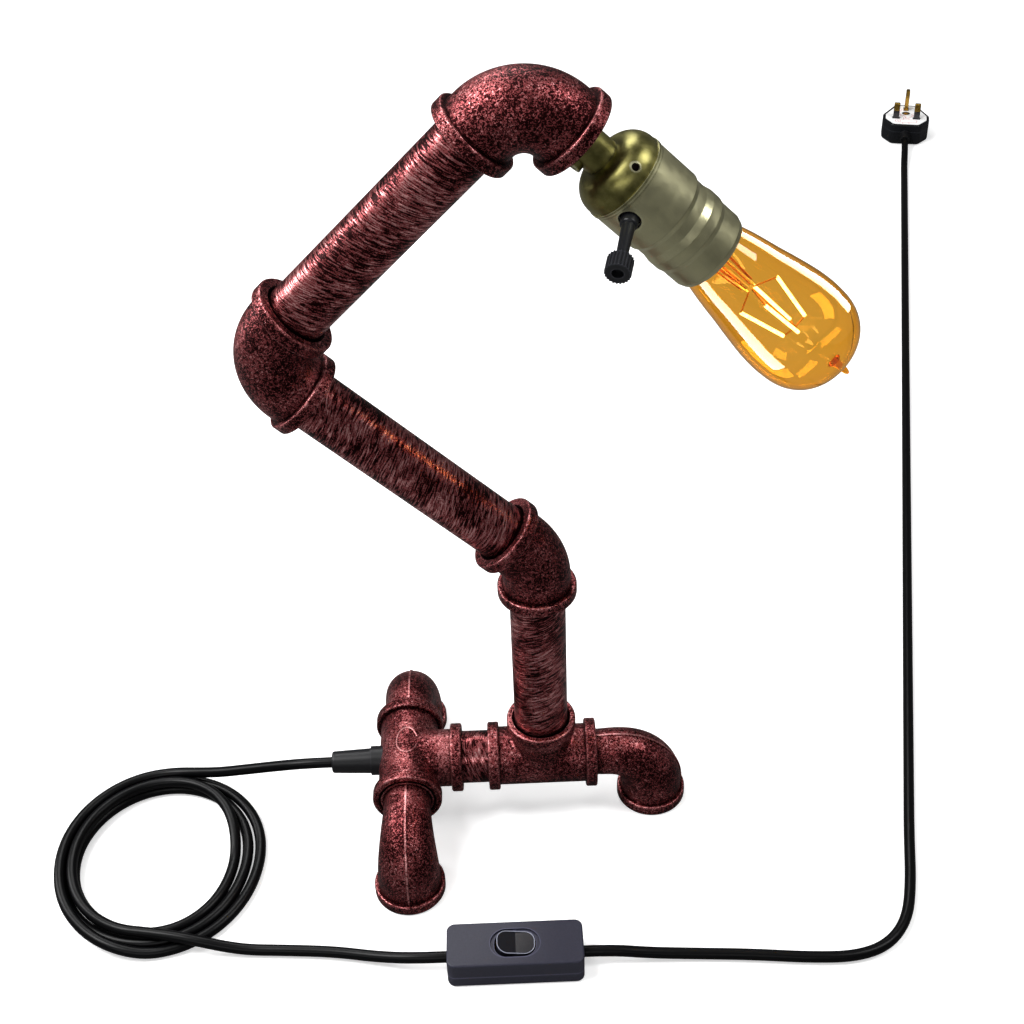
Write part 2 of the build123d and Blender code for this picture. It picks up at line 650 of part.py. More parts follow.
stem_narrowing = (KEY_KNOB_START - KEY_SEAT) * math.tan(math.radians(KEY_STEM_TAPER))
with BuildPart() as key_knob:
    with BuildSketch(head_side(KEY_AT, KEY_ANGLE, KEY_KNOB_START)):
        Circle(KEY_KNOB_OD / 2)
        with PolarLocations(KEY_KNOB_OD / 2, KEY_RIBS):
            Circle(KEY_RIB_OD / 2)
    extrude(amount=KEY_KNOB_END - KEY_KNOB_START)
    with BuildSketch(head_side(KEY_AT, KEY_ANGLE, KEY_KNOB_START)):
        Circle(KEY_STEM_OD / 2 - stem_narrowing)
    extrude(amount=KEY_PLUNGE, mode=Mode.SUBTRACT)
    with BuildSketch(head_side(KEY_AT, KEY_ANGLE, KEY_KNOB_END)):
        Circle(KEY_KNOB_BORE / 2)
    extrude(amount=-KEY_KNOB_RECESS, mode=Mode.SUBTRACT)

# ---- bulb ----------------------------------------------------------------------------------------
CONTACT_AT = BODY_END + CONTACT_RISE + FACE_GAP
FOOT_AT = CONTACT_AT + BULB_CONTACT_THICK + BULB_FOOT_SHOWN
bulb_r = BULB_CAP_OD / 2
foot_r = BULB_FOOT_OD / 2
neck_r = GLASS_NECK_OD / 2
glass_r = GLASS_OD / 2

with BuildPart() as bulb_contact:
    with BuildSketch(head_at(CONTACT_AT)):
        Circle(BULB_CONTACT_OD / 2)
    extrude(amount=BULB_CONTACT_THICK)

with BuildPart() as bulb_insulator:
    with BuildSketch(head_at(CONTACT_AT + BULB_CONTACT_THICK)):
        Circle(foot_r - BULB_CAP_WALL - RUNNING_GAP)
    extrude(amount=BULB_FOOT_SHOWN + BULB_SHOULDER)

with BuildPart() as bulb_cap:
    add(turned([
        (foot_r, FOOT_AT), (bulb_r, FOOT_AT + BULB_SHOULDER), (bulb_r, BULB_CAP_END),
        (bulb_r - BULB_CAP_WALL, BULB_CAP_END),
        (bulb_r - BULB_CAP_WALL, FOOT_AT + BULB_SHOULDER),
        (foot_r - BULB_CAP_WALL, FOOT_AT),
    ]))


def glass_shape(inset):
    """Envelope from its neck to its dome, smaller by inset all over."""
    with BuildPart() as solid:
        with BuildSketch(HEAD_PROFILE):
            with BuildLine():
                neck = Line((neck_r - inset, GLASS_START), (neck_r - inset, BULB_CAP_END))
                side = Spline(
                    neck @ 1,
                    (GLASS_MOUTH_OD / 2 - inset, SHELL_END),
                    (GLASS_SHOULDER_OD / 2 - inset, GLASS_SHOULDER_AT),
                    (glass_r - inset, GLASS_WIDEST_AT),
                    (0, GLASS_END - inset),
                    tangents=[(0.5, 1), (-1, 0)],
                )
                Polyline(side @ 1, (0, GLASS_START), neck @ 0)
            make_face()
        revolve(axis=HEAD_AXIS)
    return solid.part


with BuildPart() as bulb_glass:
    add(glass_shape(0))
    with BuildSketch(head_at(GLASS_END - GLASS_WALL)):
        Circle(PIP_OD / 2)
    extrude(amount=PIP_LENGTH + GLASS_WALL, taper=PIP_TAPER)
    add(glass_shape(GLASS_WALL), mode=Mode.SUBTRACT)

STEM_START = BULB_CAP_END - STEM_PINCH
flare_r = neck_r - GLASS_WALL - RUNNING_GAP
with BuildPart() as bulb_stem:
    add(turned([
        (0, STEM_START), (flare_r, STEM_START), (flare_r, STEM_START + 1),
        (STEM_OD / 2, STEM_START + STEM_FLARE_LENGTH), (STEM_OD / 2, STEM_END), (0, STEM_END),
    ]))


def bulb_point(distance, spread, turn):
    """Point inside the bulb: distance along the axis, spread from it, turn round it."""
    angle = math.radians(FILAMENT_ANGLE + 360 * turn / FILAMENTS)
    place = (spread * math.cos(angle), spread * math.sin(angle), distance)
    return Plane(origin=top_corner, x_dir=FRONT, z_dir=head_dir).from_local_coords(place)


def rod(start, end, diameter):
    """Round rod between two points, added to the part in hand."""
    start, end = Vector(*start), Vector(*end)
    with BuildSketch(Plane(origin=start, z_dir=end - start)) as section:
        Circle(diameter / 2)
    extrude(section.sketch, amount=(end - start).length)


with BuildPart() as bulb_filaments:
    for turn in range(FILAMENTS):
        rod(
            bulb_point(FILAMENT_START, FILAMENT_TOP_SPREAD, turn),
            bulb_point(FILAMENT_END, FILAMENT_FOOT_SPREAD, turn),
            FILAMENT_OD,
        )

with BuildPart() as bulb_supports:
    hub = bulb_point(STEM_END + WIRE_OD / 2, 0, 0)
    crown = bulb_point(FILAMENT_END + WIRE_OD, 0, 0)
    rod(bulb_point(STEM_END, 0, 0), crown, WIRE_OD)
    for turn in range(FILAMENTS):
        rod(hub, bulb_point(FILAMENT_START, FILAMENT_TOP_SPREAD, turn), WIRE_OD)
        rod(crown, bulb_point(FILAMENT_END, FILAMENT_FOOT_SPREAD, turn), WIRE_OD)

# ---- cable gland ---------------------------------------------------------------------------------
LEFT = -RIGHT
gland_root = side_corner + LEFT * (TEE_BODY_OD / 2)
gland_tip = gland_root + LEFT * GLAND_LENGTH
wall_inner = PASSAGE_OD / 2

with BuildPart() as gland:
    with BuildSketch(Plane(origin=gland_root, x_dir=FRONT, z_dir=LEFT)):
        Circle(GLAND_ROOT_OD / 2)
    with BuildSketch(Plane(origin=gland_tip, x_dir=FRONT, z_dir=LEFT)):
        Circle(GLAND_TIP_OD / 2)
    loft()
    fillet(gland.faces().sort_by(Axis.X)[0].edges(), GLAND_TIP_ROUND)
    with BuildSketch(Plane(origin=gland_root, x_dir=FRONT, z_dir=LEFT)):
        Circle(GLAND_COLLAR_OD / 2)
    extrude(amount=GLAND_COLLAR_WIDTH)
    with BuildSketch(Plane(origin=gland_root, x_dir=FRONT, z_dir=RIGHT)):
        Circle(GLAND_COLLAR_OD / 2)
    extrude(amount=GLAND_SADDLE)
    with BuildSketch(Plane(origin=side_corner, x_dir=RIGHT, z_dir=FRONT)):
        Circle(TEE_BODY_OD / 2)
    extrude(amount=TEE_REACH, both=True, mode=Mode.SUBTRACT)
    with BuildSketch(Plane(origin=gland_root, x_dir=FRONT, z_dir=RIGHT)):
        Circle(GLAND_THREAD_OD / 2)
    extrude(amount=TEE_BODY_OD / 2 - wall_inner + GLAND_NUT_INSET + GLAND_NUT_THICK)
    with BuildSketch(Plane(origin=gland_tip, x_dir=FRONT, z_dir=RIGHT)):
        Circle(CORD_OD / 2 + CLEARANCE)
    extrude(amount=TEE_BODY_OD + GLAND_LENGTH, mode=Mode.SUBTRACT)

with BuildPart() as gland_nut:
    nut_start = side_corner + LEFT * (wall_inner - GLAND_NUT_INSET)
    with BuildSketch(Plane(origin=nut_start, x_dir=FRONT, z_dir=RIGHT)):
        RegularPolygon(GLAND_NUT_AF / 2, 6, major_radius=False)
        Circle(GLAND_THREAD_OD / 2 + THREAD_GAP, mode=Mode.SUBTRACT)
    extrude(amount=GLAND_NUT_THICK)


# ---- flex inside the pipes: one length for each part of the lamp that turns ----------------------
def inner_lead(start, corner, end):
    """Flex on the centre line of a fitting and of the pipes that lead to it."""
    with BuildPart() as flex:
        with BuildLine() as line:
            FilletPolyline(start, corner, end, radius=LEAD_BEND)
        with BuildSketch(Plane(origin=line.line @ 0, z_dir=line.line % 0)):
            Circle(CORD_OD / 2)
        sweep(path=line.line)
    return flex


post_face = post_corner + UP * TEE_REACH
offset_face = offset_corner + low_dir * OFFSET_REACH
knee_face = knee_corner + up_dir * ELBOW_REACH
lead_base = inner_lead(gland_tip, post_corner, post_face)
lead_post = inner_lead(post_face, offset_corner, offset_face)
lead_lower = inner_lead(offset_face, knee_corner, knee_face)
lead_upper = inner_lead(knee_face, top_corner, top_corner + head_dir * TUBE_END)

with BuildPart() as lead_cores:
    for side in (-1, 1):
        plane = head_at(BODY_START - STRAND_OD / 2)
        start = plane.from_local_coords((0, side * STRAND_OD / 2, 0))
        end = plane.from_local_coords((0, side * (TERMINAL_SPREAD + TERMINAL_OD) / 2, 0))
        rod(start, end, STRAND_OD)


# ---- lead on the table ---------------------------------------------------------------------------
def lead_route(points):
    """Straight runs joined by the largest tangent arcs that they leave room for."""
    radii = []
    for before, point, after in zip(points, points[1:], points[2:]):
        run_in = Vector(*point) - Vector(*before)
        run_out = Vector(*after) - Vector(*point)
        half_turn = math.radians(run_in.get_angle(run_out)) / 2
        radii.append(0.45 * min(run_in.length, run_out.length) / math.tan(half_turn))
    print("lead arcs, mm:", [round(radius) for radius in radii])
    with BuildLine() as line:
        FilletPolyline(*points, radius=radii)
    return line.line


def flex(points):
    """Round flex along a route."""
    path = lead_route(points)
    with BuildPart() as tube:
        with BuildSketch(Plane(origin=path @ 0, z_dir=path % 0)):
            Circle(CORD_OD / 2)
        sweep(path=path)
    return tube


TABLE_Z = CORD_OD / 2 + 0.1
switch_left = SWITCH_CENTRE[0] - SWITCH_LENGTH / 2
switch_right = SWITCH_CENTRE[0] + SWITCH_LENGTH / 2
plug_way = UP.cross(Vector(1, 0, 0)).rotate(Axis.Z, PLUG_TURN)
plug_mouth = Vector(*PLUG_FACE, PLUG_CORD_HEIGHT) - plug_way * GROMMET_LENGTH

cord_lead = flex([
    tuple(gland_tip),
    (-163, 0, LEG_DROP),
    (-184, 3.5, 34.5),
    (-204, 9.5, 24),
    (-224, 17, 12.5),
    (-247, 24.5, 5.2),
    (-268, 27, TABLE_Z),
])
cord_to_switch = flex([
    (-240, -112.4, TABLE_Z),
    (-208, -115.6, TABLE_Z),
    (-174, -117.7, TABLE_Z),
    (-140, -120.4, TABLE_Z),
    (-113, -126.4, 4.8),
    (-90, SWITCH_CENTRE[1], SWITCH_CORD_HEIGHT),
    (switch_left, SWITCH_CENTRE[1], SWITCH_CORD_HEIGHT),
])
cord_to_plug = flex([
    (switch_right, SWITCH_CENTRE[1], SWITCH_CORD_HEIGHT),
    (29, SWITCH_CENTRE[1], SWITCH_CORD_HEIGHT),
    (50, -131.7, 5.4),
    (78, -132.4, TABLE_Z),
    (112, -134.6, TABLE_Z),
    (146, -138.4, TABLE_Z),
    (174, -139.2, TABLE_Z),
    (195, -132, TABLE_Z),
    (210, -114.5, TABLE_Z),
    (218, -88, TABLE_Z),
    (225.2, -50, TABLE_Z),
    (417.8, 857.5, TABLE_Z),
    tuple(plug_mouth - plug_way * GROMMET_RUN),
    tuple(plug_mouth),
])

with BuildPart() as cord_coil:
    with BuildSketch(Plane.XY):
        with Locations(COIL_CENTRE):
            Ellipse(COIL_WIDTH / 2, COIL_DEPTH / 2)
            Ellipse(COIL_WIDTH / 2 - COIL_BAND, COIL_DEPTH / 2 - COIL_BAND, mode=Mode.SUBTRACT)
    extrude(amount=COIL_HEIGHT)
    fillet(cord_coil.faces().sort_by(Axis.Z)[-1].edges(), COIL_ROUND)

# ---- in-line switch ------------------------------------------------------------------------------
switch_x, switch_y = SWITCH_CENTRE
well_z = SWITCH_HEIGHT - WELL_DEPTH
roof_z = SWITCH_HEIGHT - SWITCH_ROOF
screw_places = [(-SWITCH_SCREW_SPREAD / 2, 0), (SWITCH_SCREW_SPREAD / 2, 0)]


def switch_at(height):
    return Plane(origin=(switch_x, switch_y, height))


def screw_circles(diameter):
    with Locations(*screw_places):
        Circle(diameter / 2)


with BuildPart() as switch_base:
    with BuildSketch(switch_at(0)):
        RectangleRounded(SWITCH_LENGTH, SWITCH_WIDTH, SWITCH_CORNER)
    extrude(amount=SWITCH_SPLIT)
    fillet(switch_base.faces().sort_by(Axis.Z)[0].edges(), SWITCH_EDGE)
    with BuildSketch(switch_at(SWITCH_WALL)):
        RectangleRounded(
            SWITCH_LENGTH - 2 * SWITCH_WALL, SWITCH_WIDTH - 2 * SWITCH_WALL, SWITCH_CORNER - SWITCH_WALL
        )
    extrude(amount=SWITCH_HEIGHT, mode=Mode.SUBTRACT)
    with BuildSketch(switch_at(0)):
        screw_circles(SWITCH_BOSS_OD)
    extrude(amount=SWITCH_SPLIT)
    with BuildSketch(switch_at(0)):
        screw_circles(SWITCH_SCREW_OD + 2 * CLEARANCE)
    extrude(amount=SWITCH_SPLIT, mode=Mode.SUBTRACT)
    with BuildSketch(switch_at(0)):
        screw_circles(SWITCH_SCREW_HEAD_OD + 2 * CLEARANCE)
    extrude(amount=SWITCH_HEAD_DEPTH, mode=Mode.SUBTRACT)

pivot = Vector(switch_x, switch_y, well_z - ROCKER_PIVOT_DEPTH)
boss_y = ROCKER_WIDTH / 2 + ROCKER_GAP
with BuildPart() as switch_cover:
    with BuildSketch(switch_at(SWITCH_SPLIT)):
        RectangleRounded(SWITCH_LENGTH, SWITCH_WIDTH, SWITCH_CORNER)
    extrude(amount=SWITCH_HEIGHT - SWITCH_SPLIT)
    fillet(switch_cover.faces().sort_by(Axis.Z)[-1].edges(), SWITCH_EDGE)
    with BuildSketch(switch_at(SWITCH_SPLIT)):
        RectangleRounded(
            SWITCH_LENGTH - 2 * SWITCH_WALL, SWITCH_WIDTH - 2 * SWITCH_WALL, SWITCH_CORNER - SWITCH_WALL
        )
    extrude(amount=roof_z - SWITCH_SPLIT, mode=Mode.SUBTRACT)
    with BuildSketch(switch_at(well_z)):
        SlotOverall(WELL_LENGTH, WELL_WIDTH)
    extrude(amount=WELL_DEPTH, mode=Mode.SUBTRACT)
    with BuildSketch(switch_at(roof_z)):
        with Locations((0, boss_y + PIVOT_BOSS / 2), (0, -boss_y - PIVOT_BOSS / 2)):
            Rectangle(2 * PIVOT_BOSS, PIVOT_BOSS)
    extrude(amount=-PIVOT_BOSS)
    with BuildSketch(switch_at(roof_z)):
        screw_circles(SWITCH_BOSS_OD)
    extrude(amount=SWITCH_SPLIT - roof_z)
    with BuildSketch(switch_at(SWITCH_SPLIT)):
        screw_circles(SWITCH_SCREW_OD + 2 * CLEARANCE)
    extrude(amount=SWITCH_SCREW_LENGTH - SWITCH_SPLIT + SWITCH_HEAD_DEPTH, mode=Mode.SUBTRACT)
    with BuildSketch(switch_at(roof_z - PIVOT_BOSS)):
        RectangleRounded(
            ROCKER_LENGTH + 2 * ROCKER_GAP, ROCKER_WIDTH + 2 * ROCKER_GAP, ROCKER_ROUND + ROCKER_GAP
        )
    extrude(amount=SWITCH_HEIGHT, mode=Mode.SUBTRACT)
    with BuildSketch(Plane(origin=pivot, x_dir=RIGHT, z_dir=FRONT)):
        Circle(ROCKER_PIVOT_OD / 2 + RUNNING_GAP)
    extrude(amount=boss_y + PIVOT_BOSS, both=True, mode=Mode.SUBTRACT)

tilted = Plane(origin=pivot, x_dir=RIGHT.rotate(Axis.Y, ROCKER_REST), z_dir=FRONT)
half = ROCKER_LENGTH / 2
crest = ROCKER_PIVOT_DEPTH + ROCKER_PROUD + half * math.tan(math.radians(ROCKER_TILT))
with BuildPart() as switch_rocker:
    with BuildSketch(tilted):
        with BuildLine():
            Polyline(
                (-half, crest), (0, ROCKER_PIVOT_DEPTH + ROCKER_PROUD), (half, crest),
                (half, ROCKER_PIVOT_DEPTH - ROCKER_SKIRT), (half / 2, -ROCKER_KEEL),
                (-half / 2, -ROCKER_KEEL), (-half, ROCKER_PIVOT_DEPTH - ROCKER_SKIRT), close=True,
            )
        make_face()
    extrude(amount=ROCKER_WIDTH / 2, both=True)
    with BuildSketch(Plane(origin=pivot, x_dir=tilted.x_dir, z_dir=FRONT.cross(tilted.x_dir))):
        RectangleRounded(ROCKER_LENGTH, ROCKER_WIDTH, ROCKER_ROUND)
    extrude(amount=SWITCH_HEIGHT, both=True, mode=Mode.INTERSECT)
    with BuildSketch(Plane(origin=pivot, x_dir=RIGHT, z_dir=FRONT)):
        Circle(ROCKER_PIVOT_OD / 2)
    extrude(amount=boss_y + PIVOT_BOSS - CLEARANCE, both=True)

terminal_y = SWITCH_WIDTH / 4
with BuildPart() as switch_terminals:
    with BuildSketch(switch_at(SWITCH_WALL)):
        with GridLocations(SWITCH_TERMINAL_SPREAD, 2 * terminal_y, 2, 2):
            Rectangle(SWITCH_TERMINAL[0], SWITCH_TERMINAL[1])
    extrude(amount=SWITCH_TERMINAL[2])

with BuildPart() as switch_contact:
    with BuildSketch(switch_at(SWITCH_WALL + SWITCH_TERMINAL[2])):
        with Locations((0, terminal_y)):
            Rectangle(SWITCH_TERMINAL_SPREAD + SWITCH_TERMINAL[0], CONTACT_STRIP_WIDTH)
    extrude(amount=CONTACT_THICK)

with BuildPart() as switch_screws:
    with BuildSketch(switch_at(SWITCH_HEAD_RECESS)):
        screw_circles(SWITCH_SCREW_HEAD_OD)
    extrude(amount=SWITCH_HEAD_DEPTH - SWITCH_HEAD_RECESS)
    with BuildSketch(switch_at(SWITCH_HEAD_DEPTH)):
        screw_circles(SWITCH_SCREW_OD)
    extrude(amount=SWITCH_SCREW_LENGTH - CLEARANCE)

# ---- mains plug, lying on its back with the pins up ----------------------------------------------
plug_top = PLUG_COVER_HEIGHT + PLUG_BASE_HEIGHT


def plug_at(height):
    plug_x = plug_way.cross(UP)
    return Plane(origin=(*PLUG_FACE, height), x_dir=plug_x, z_dir=UP)


def plug_outline(inset=0.0):
    """Outline of the plug in plan, cord end at y = 0, narrower towards the earth pin."""
    low, high = PLUG_SHOULDER
    right = [(PLUG_FOOT_WIDTH / 2, 0), (PLUG_WIDTH / 2, low), (PLUG_WIDTH / 2, high),
             (PLUG_TOP_WIDTH / 2, PLUG_LENGTH)]
    left = [(-x, y) for x, y in reversed(right)]
    with BuildSketch(mode=Mode.PRIVATE) as outline:
        with BuildLine():
            Polyline(*right, *left, close=True)
        make_face()
        fillet(outline.vertices(), PLUG_CORNER)
        if inset:
            offset(amount=-inset, mode=Mode.REPLACE)
    return outline.sketch


def pin_slots(grow=0.0):
    """Line and neutral pins side by side, the earth pin turned the other way beyond them."""
    for side in (-1, 1):
        with Locations((side * PIN_PITCH / 2, PIN_LINE_V)):
            Rectangle(PIN_SIZE[0] + 2 * grow, PIN_SIZE[1] + 2 * grow)
    with Locations((0, PIN_LINE_V + PIN_SPACING)):
        Rectangle(EARTH_SIZE[0] + 2 * grow, EARTH_SIZE[1] + 2 * grow)


def pin(places, size, reach):
    """Brass pins with chamfered tips, from their roots in the base."""
    with BuildPart() as blade:
        with BuildSketch(plug_at(plug_top - PIN_ROOT)):
            with Locations(*places):
                Rectangle(*size)
        extrude(amount=PIN_ROOT + reach)
        chamfer(blade.faces().filter_by(Axis.Z).group_by(Axis.Z)[-1].edges(), PIN_EDGE)
    return blade


with BuildPart() as plug_cover:
    with BuildSketch(plug_at(0)):
        add(plug_outline())
    extrude(amount=PLUG_COVER_HEIGHT)
    fillet(plug_cover.faces().sort_by(Axis.Z)[0].edges(), PLUG_EDGE)
    with BuildSketch(plug_at(PLUG_WALL)):
        add(plug_outline(PLUG_WALL))
    extrude(amount=PLUG_COVER_HEIGHT, mode=Mode.SUBTRACT)
    with BuildSketch(plug_at(0)):
        with Locations((0, PLUG_SCREW_V)):
            Circle(PLUG_BOSS_OD / 2)
    extrude(amount=PLUG_COVER_HEIGHT)
    with BuildSketch(plug_at(PLUG_WALL)):
        with Locations((0, PLUG_SCREW_V)):
            Circle(PLUG_SCREW_OD / 2 + CLEARANCE)
    extrude(amount=PLUG_COVER_HEIGHT, mode=Mode.SUBTRACT)
    with BuildSketch(Plane(origin=plug_mouth, z_dir=plug_way)):
        Circle(GROMMET_NECK_OD / 2 + CLEARANCE)
    extrude(amount=GROMMET_LENGTH + GROMMET_INSIDE, mode=Mode.SUBTRACT)

with BuildPart() as plug_base:
    with BuildSketch(plug_at(PLUG_COVER_HEIGHT)):
        add(plug_outline())
    extrude(amount=PLUG_BASE_HEIGHT)
    fillet(plug_base.faces().sort_by(Axis.Z)[-1].edges(), PLUG_FACE_EDGE)
    with BuildSketch(plug_at(plug_top - PIN_ROOT)):
        pin_slots(THREAD_GAP)
    extrude(amount=PIN_ROOT, mode=Mode.SUBTRACT)
    with BuildSketch(plug_at(PLUG_COVER_HEIGHT)):
        with Locations((0, PLUG_SCREW_V)):
            Circle(PLUG_SCREW_OD / 2 + CLEARANCE)
    extrude(amount=PLUG_BASE_HEIGHT, mode=Mode.SUBTRACT)
    with BuildSketch(plug_at(plug_top)):
        with Locations((0, PLUG_SCREW_V)):
            Circle(PLUG_SCREW_HEAD_OD / 2 + CLEARANCE)
    extrude(amount=-PLUG_SCREW_HEAD_DEPTH, mode=Mode.SUBTRACT)

with BuildPart() as plug_screw:
    with BuildSketch(plug_at(plug_top - FACE_GAP)):
        with Locations((0, PLUG_SCREW_V)):
            Circle(PLUG_SCREW_HEAD_OD / 2)
    extrude(amount=FACE_GAP - PLUG_SCREW_HEAD_DEPTH)
    with BuildSketch(plug_at(plug_top - PLUG_SCREW_HEAD_DEPTH)):
        with Locations((0, PLUG_SCREW_V)):
            Circle(PLUG_SCREW_OD / 2)
    extrude(amount=-PLUG_SCREW_LENGTH)

plug_pins = pin(
    [(-PIN_PITCH / 2, PIN_LINE_V), (PIN_PITCH / 2, PIN_LINE_V)], PIN_SIZE, PIN_REACH
)
plug_pin_earth = pin([(0, PIN_LINE_V + PIN_SPACING)], EARTH_SIZE, EARTH_REACH)

with BuildPart() as plug_card:
    with BuildSketch(plug_at(plug_top)):
        add(plug_outline(CARD_MARGIN))
    extrude(amount=CARD_THICK)
    with BuildSketch(plug_at(plug_top)):
        pin_slots(CARD_HOLE_GAP)
        with Locations((0, PLUG_SCREW_V)):
            Circle(PLUG_SCREW_HEAD_OD / 2 + CARD_HOLE_GAP)
    extrude(amount=CARD_THICK, mode=Mode.SUBTRACT)

with BuildPart() as plug_grommet:
    with BuildSketch(Plane(origin=plug_mouth, z_dir=plug_way)):
        Circle(GROMMET_TIP_OD / 2)
    with BuildSketch(Plane(origin=plug_mouth + plug_way * GROMMET_LENGTH, z_dir=plug_way)):
        Circle(GROMMET_ROOT_OD / 2)
    loft()
    with BuildSketch(Plane(origin=plug_mouth + plug_way * GROMMET_LENGTH, z_dir=plug_way)):
        Circle(GROMMET_NECK_OD / 2)
    extrude(amount=GROMMET_INSIDE)

with BuildPart() as plug_fuse:
    fuse_start = plug_at(PLUG_COVER_HEIGHT - FUSE_OD / 2 - RUNNING_GAP).from_local_coords(
        (PIN_PITCH / 2, PLUG_LENGTH / 2 - FUSE_LENGTH / 2, 0)
    )
    rod(fuse_start, fuse_start + plug_way * FUSE_LENGTH, FUSE_OD)

# ---- write every piece ---------------------------------------------------------------------------
PIECES = {
    "tee_side": tee_side,
    "tee_post": tee_post,
    "close_nipple": close_nipple,
    "leg_elbow_front": leg_elbow_front,
    "leg_elbow_rear": leg_elbow_rear,
    "leg_elbow_side": leg_elbow_side,
    "gland": gland,
    "gland_nut": gland_nut,
    "lead_base": lead_base,
    "post_pipe": post_pipe,
    "elbow_45": elbow_45,
    "lead_post": lead_post,
    "lower_arm_pipe": lower_arm_pipe,
    "knee_elbow": knee_elbow,
    "lead_lower": lead_lower,
    "upper_arm_pipe": upper_arm_pipe,
    "top_elbow": top_elbow,
    "reducer_bush": reducer_bush,
    "head_tube": head_tube,
    "tube_locknut": tube_locknut,
    "lead_upper": lead_upper,
    "socket_cap": socket_cap,
    "cap_grub_screw": cap_grub_screw,
    "socket_shell": socket_shell,
    "socket_liner": socket_liner,
    "socket_body": socket_body,
    "socket_terminals": socket_terminals,
    "socket_screw_shell": socket_screw_shell,
    "socket_centre_contact": socket_centre_contact,
    "lead_cores": lead_cores,
    "key_stem": key_stem,
    "key_knob": key_knob,
    "bulb_contact": bulb_contact,
    "bulb_insulator": bulb_insulator,
    "bulb_cap": bulb_cap,
    "bulb_glass": bulb_glass,
    "bulb_stem": bulb_stem,
    "bulb_filaments": bulb_filaments,
    "bulb_supports": bulb_supports,
    "cord_lead": cord_lead,
    "cord_coil": cord_coil,
    "cord_to_switch": cord_to_switch,
    "cord_to_plug": cord_to_plug,
    "switch_base": switch_base,
    "switch_cover": switch_cover,
    "switch_rocker": switch_rocker,
    "switch_terminals": switch_terminals,
    "switch_contact": switch_contact,
    "switch_screws": switch_screws,
    "plug_cover": plug_cover,
    "plug_base": plug_base,
    "plug_screw": plug_screw,
    "plug_pins": plug_pins,
    "plug_pin_earth": plug_pin_earth,
    "plug_card": plug_card,
    "plug_grommet": plug_grommet,
    "plug_fuse": plug_fuse,
}
os.makedirs("parts", exist_ok=True)
for name, piece in PIECES.items():
    piece.part.label = name
    export_step(piece.part, f"parts/{name}.step")
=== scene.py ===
"""Dresses a table lamp made of screwed pipe fittings: finishes, flex, bulb, studio and camera.

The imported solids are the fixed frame. Everything made here sits on them, in metres.
"""
import json
import math

import bmesh
import bpy
from mathutils import Matrix, Vector


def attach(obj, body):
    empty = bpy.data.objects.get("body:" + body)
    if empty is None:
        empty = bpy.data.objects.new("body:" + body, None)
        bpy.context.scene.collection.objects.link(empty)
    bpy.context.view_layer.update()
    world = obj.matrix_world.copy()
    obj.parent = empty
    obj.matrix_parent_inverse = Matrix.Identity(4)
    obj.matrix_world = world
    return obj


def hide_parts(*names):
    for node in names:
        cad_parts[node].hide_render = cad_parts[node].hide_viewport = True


bl_info = {
    "name": "Pipe Lamp Dresser",
    "version": (1, 0, 0),
    "blender": (4, 5, 0),
    "location": "3D View > Sidebar > Pipe Lamp",
    "description": "Finishes, flex, bulb and studio for a table lamp of pipe fittings",
    "category": "Object",
}

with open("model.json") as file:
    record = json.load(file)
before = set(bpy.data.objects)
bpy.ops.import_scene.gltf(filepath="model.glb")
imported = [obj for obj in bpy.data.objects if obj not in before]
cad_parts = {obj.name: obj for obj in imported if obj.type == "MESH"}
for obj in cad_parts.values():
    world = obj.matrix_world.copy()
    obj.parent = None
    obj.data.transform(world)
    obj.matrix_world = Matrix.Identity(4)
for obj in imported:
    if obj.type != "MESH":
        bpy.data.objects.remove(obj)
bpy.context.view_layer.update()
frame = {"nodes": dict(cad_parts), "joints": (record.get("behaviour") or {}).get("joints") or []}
nodes = frame["nodes"]
joints = {joint["name"]: joint for joint in frame["joints"]}

MM = 0.001
BLACK = (0.0, 0.0, 0.0, 1.0)


def linear(code):
    """Linear colour of an sRGB hex code, with full alpha."""
    channels = [int(code[start:start + 2], 16) / 255 for start in (1, 3, 5)]
    return (*(c / 12.92 if c <= 0.04045 else ((c + 0.055) / 1.055) ** 2.4 for c in channels), 1.0)


# ---- places on the lamp: joints in metres, numbers in millimetres --------------------------------
HEAD_WAY = Vector(joints["holder_swivel"]["axis"]).normalized()
SWIVEL_AHEAD = 37.2         # from the corner of the top elbow to the lampholder's joint
TOP_CORNER = Vector(joints["holder_swivel"]["pos_m"]) - HEAD_WAY * (SWIVEL_AHEAD * MM)
FRONT = Vector((0, -1, 0))
HEAD_AXES = Matrix((FRONT, HEAD_WAY.cross(FRONT), HEAD_WAY)).transposed()
HEAD = Matrix.Translation(TOP_CORNER) @ HEAD_AXES.to_4x4()
LOWER_WAY = Vector(joints["lower_arm_twist"]["axis"])
UPPER_WAY = Vector(joints["upper_arm_twist"]["axis"])
BULB_MIDDLE = 180.0         # along the head from the top elbow's corner
TEE_MIDDLE = (-95.0, 40.0)  # across and up, at the middle of the side tee
TEE_RADIUS = 18.8
MEDALLION = (6.6, 10.5)     # half width and half length of the oval on the tee
MEDALLION_WIRE = 1.1        # thickness of its rim
MEDALLION_STEPS = 64

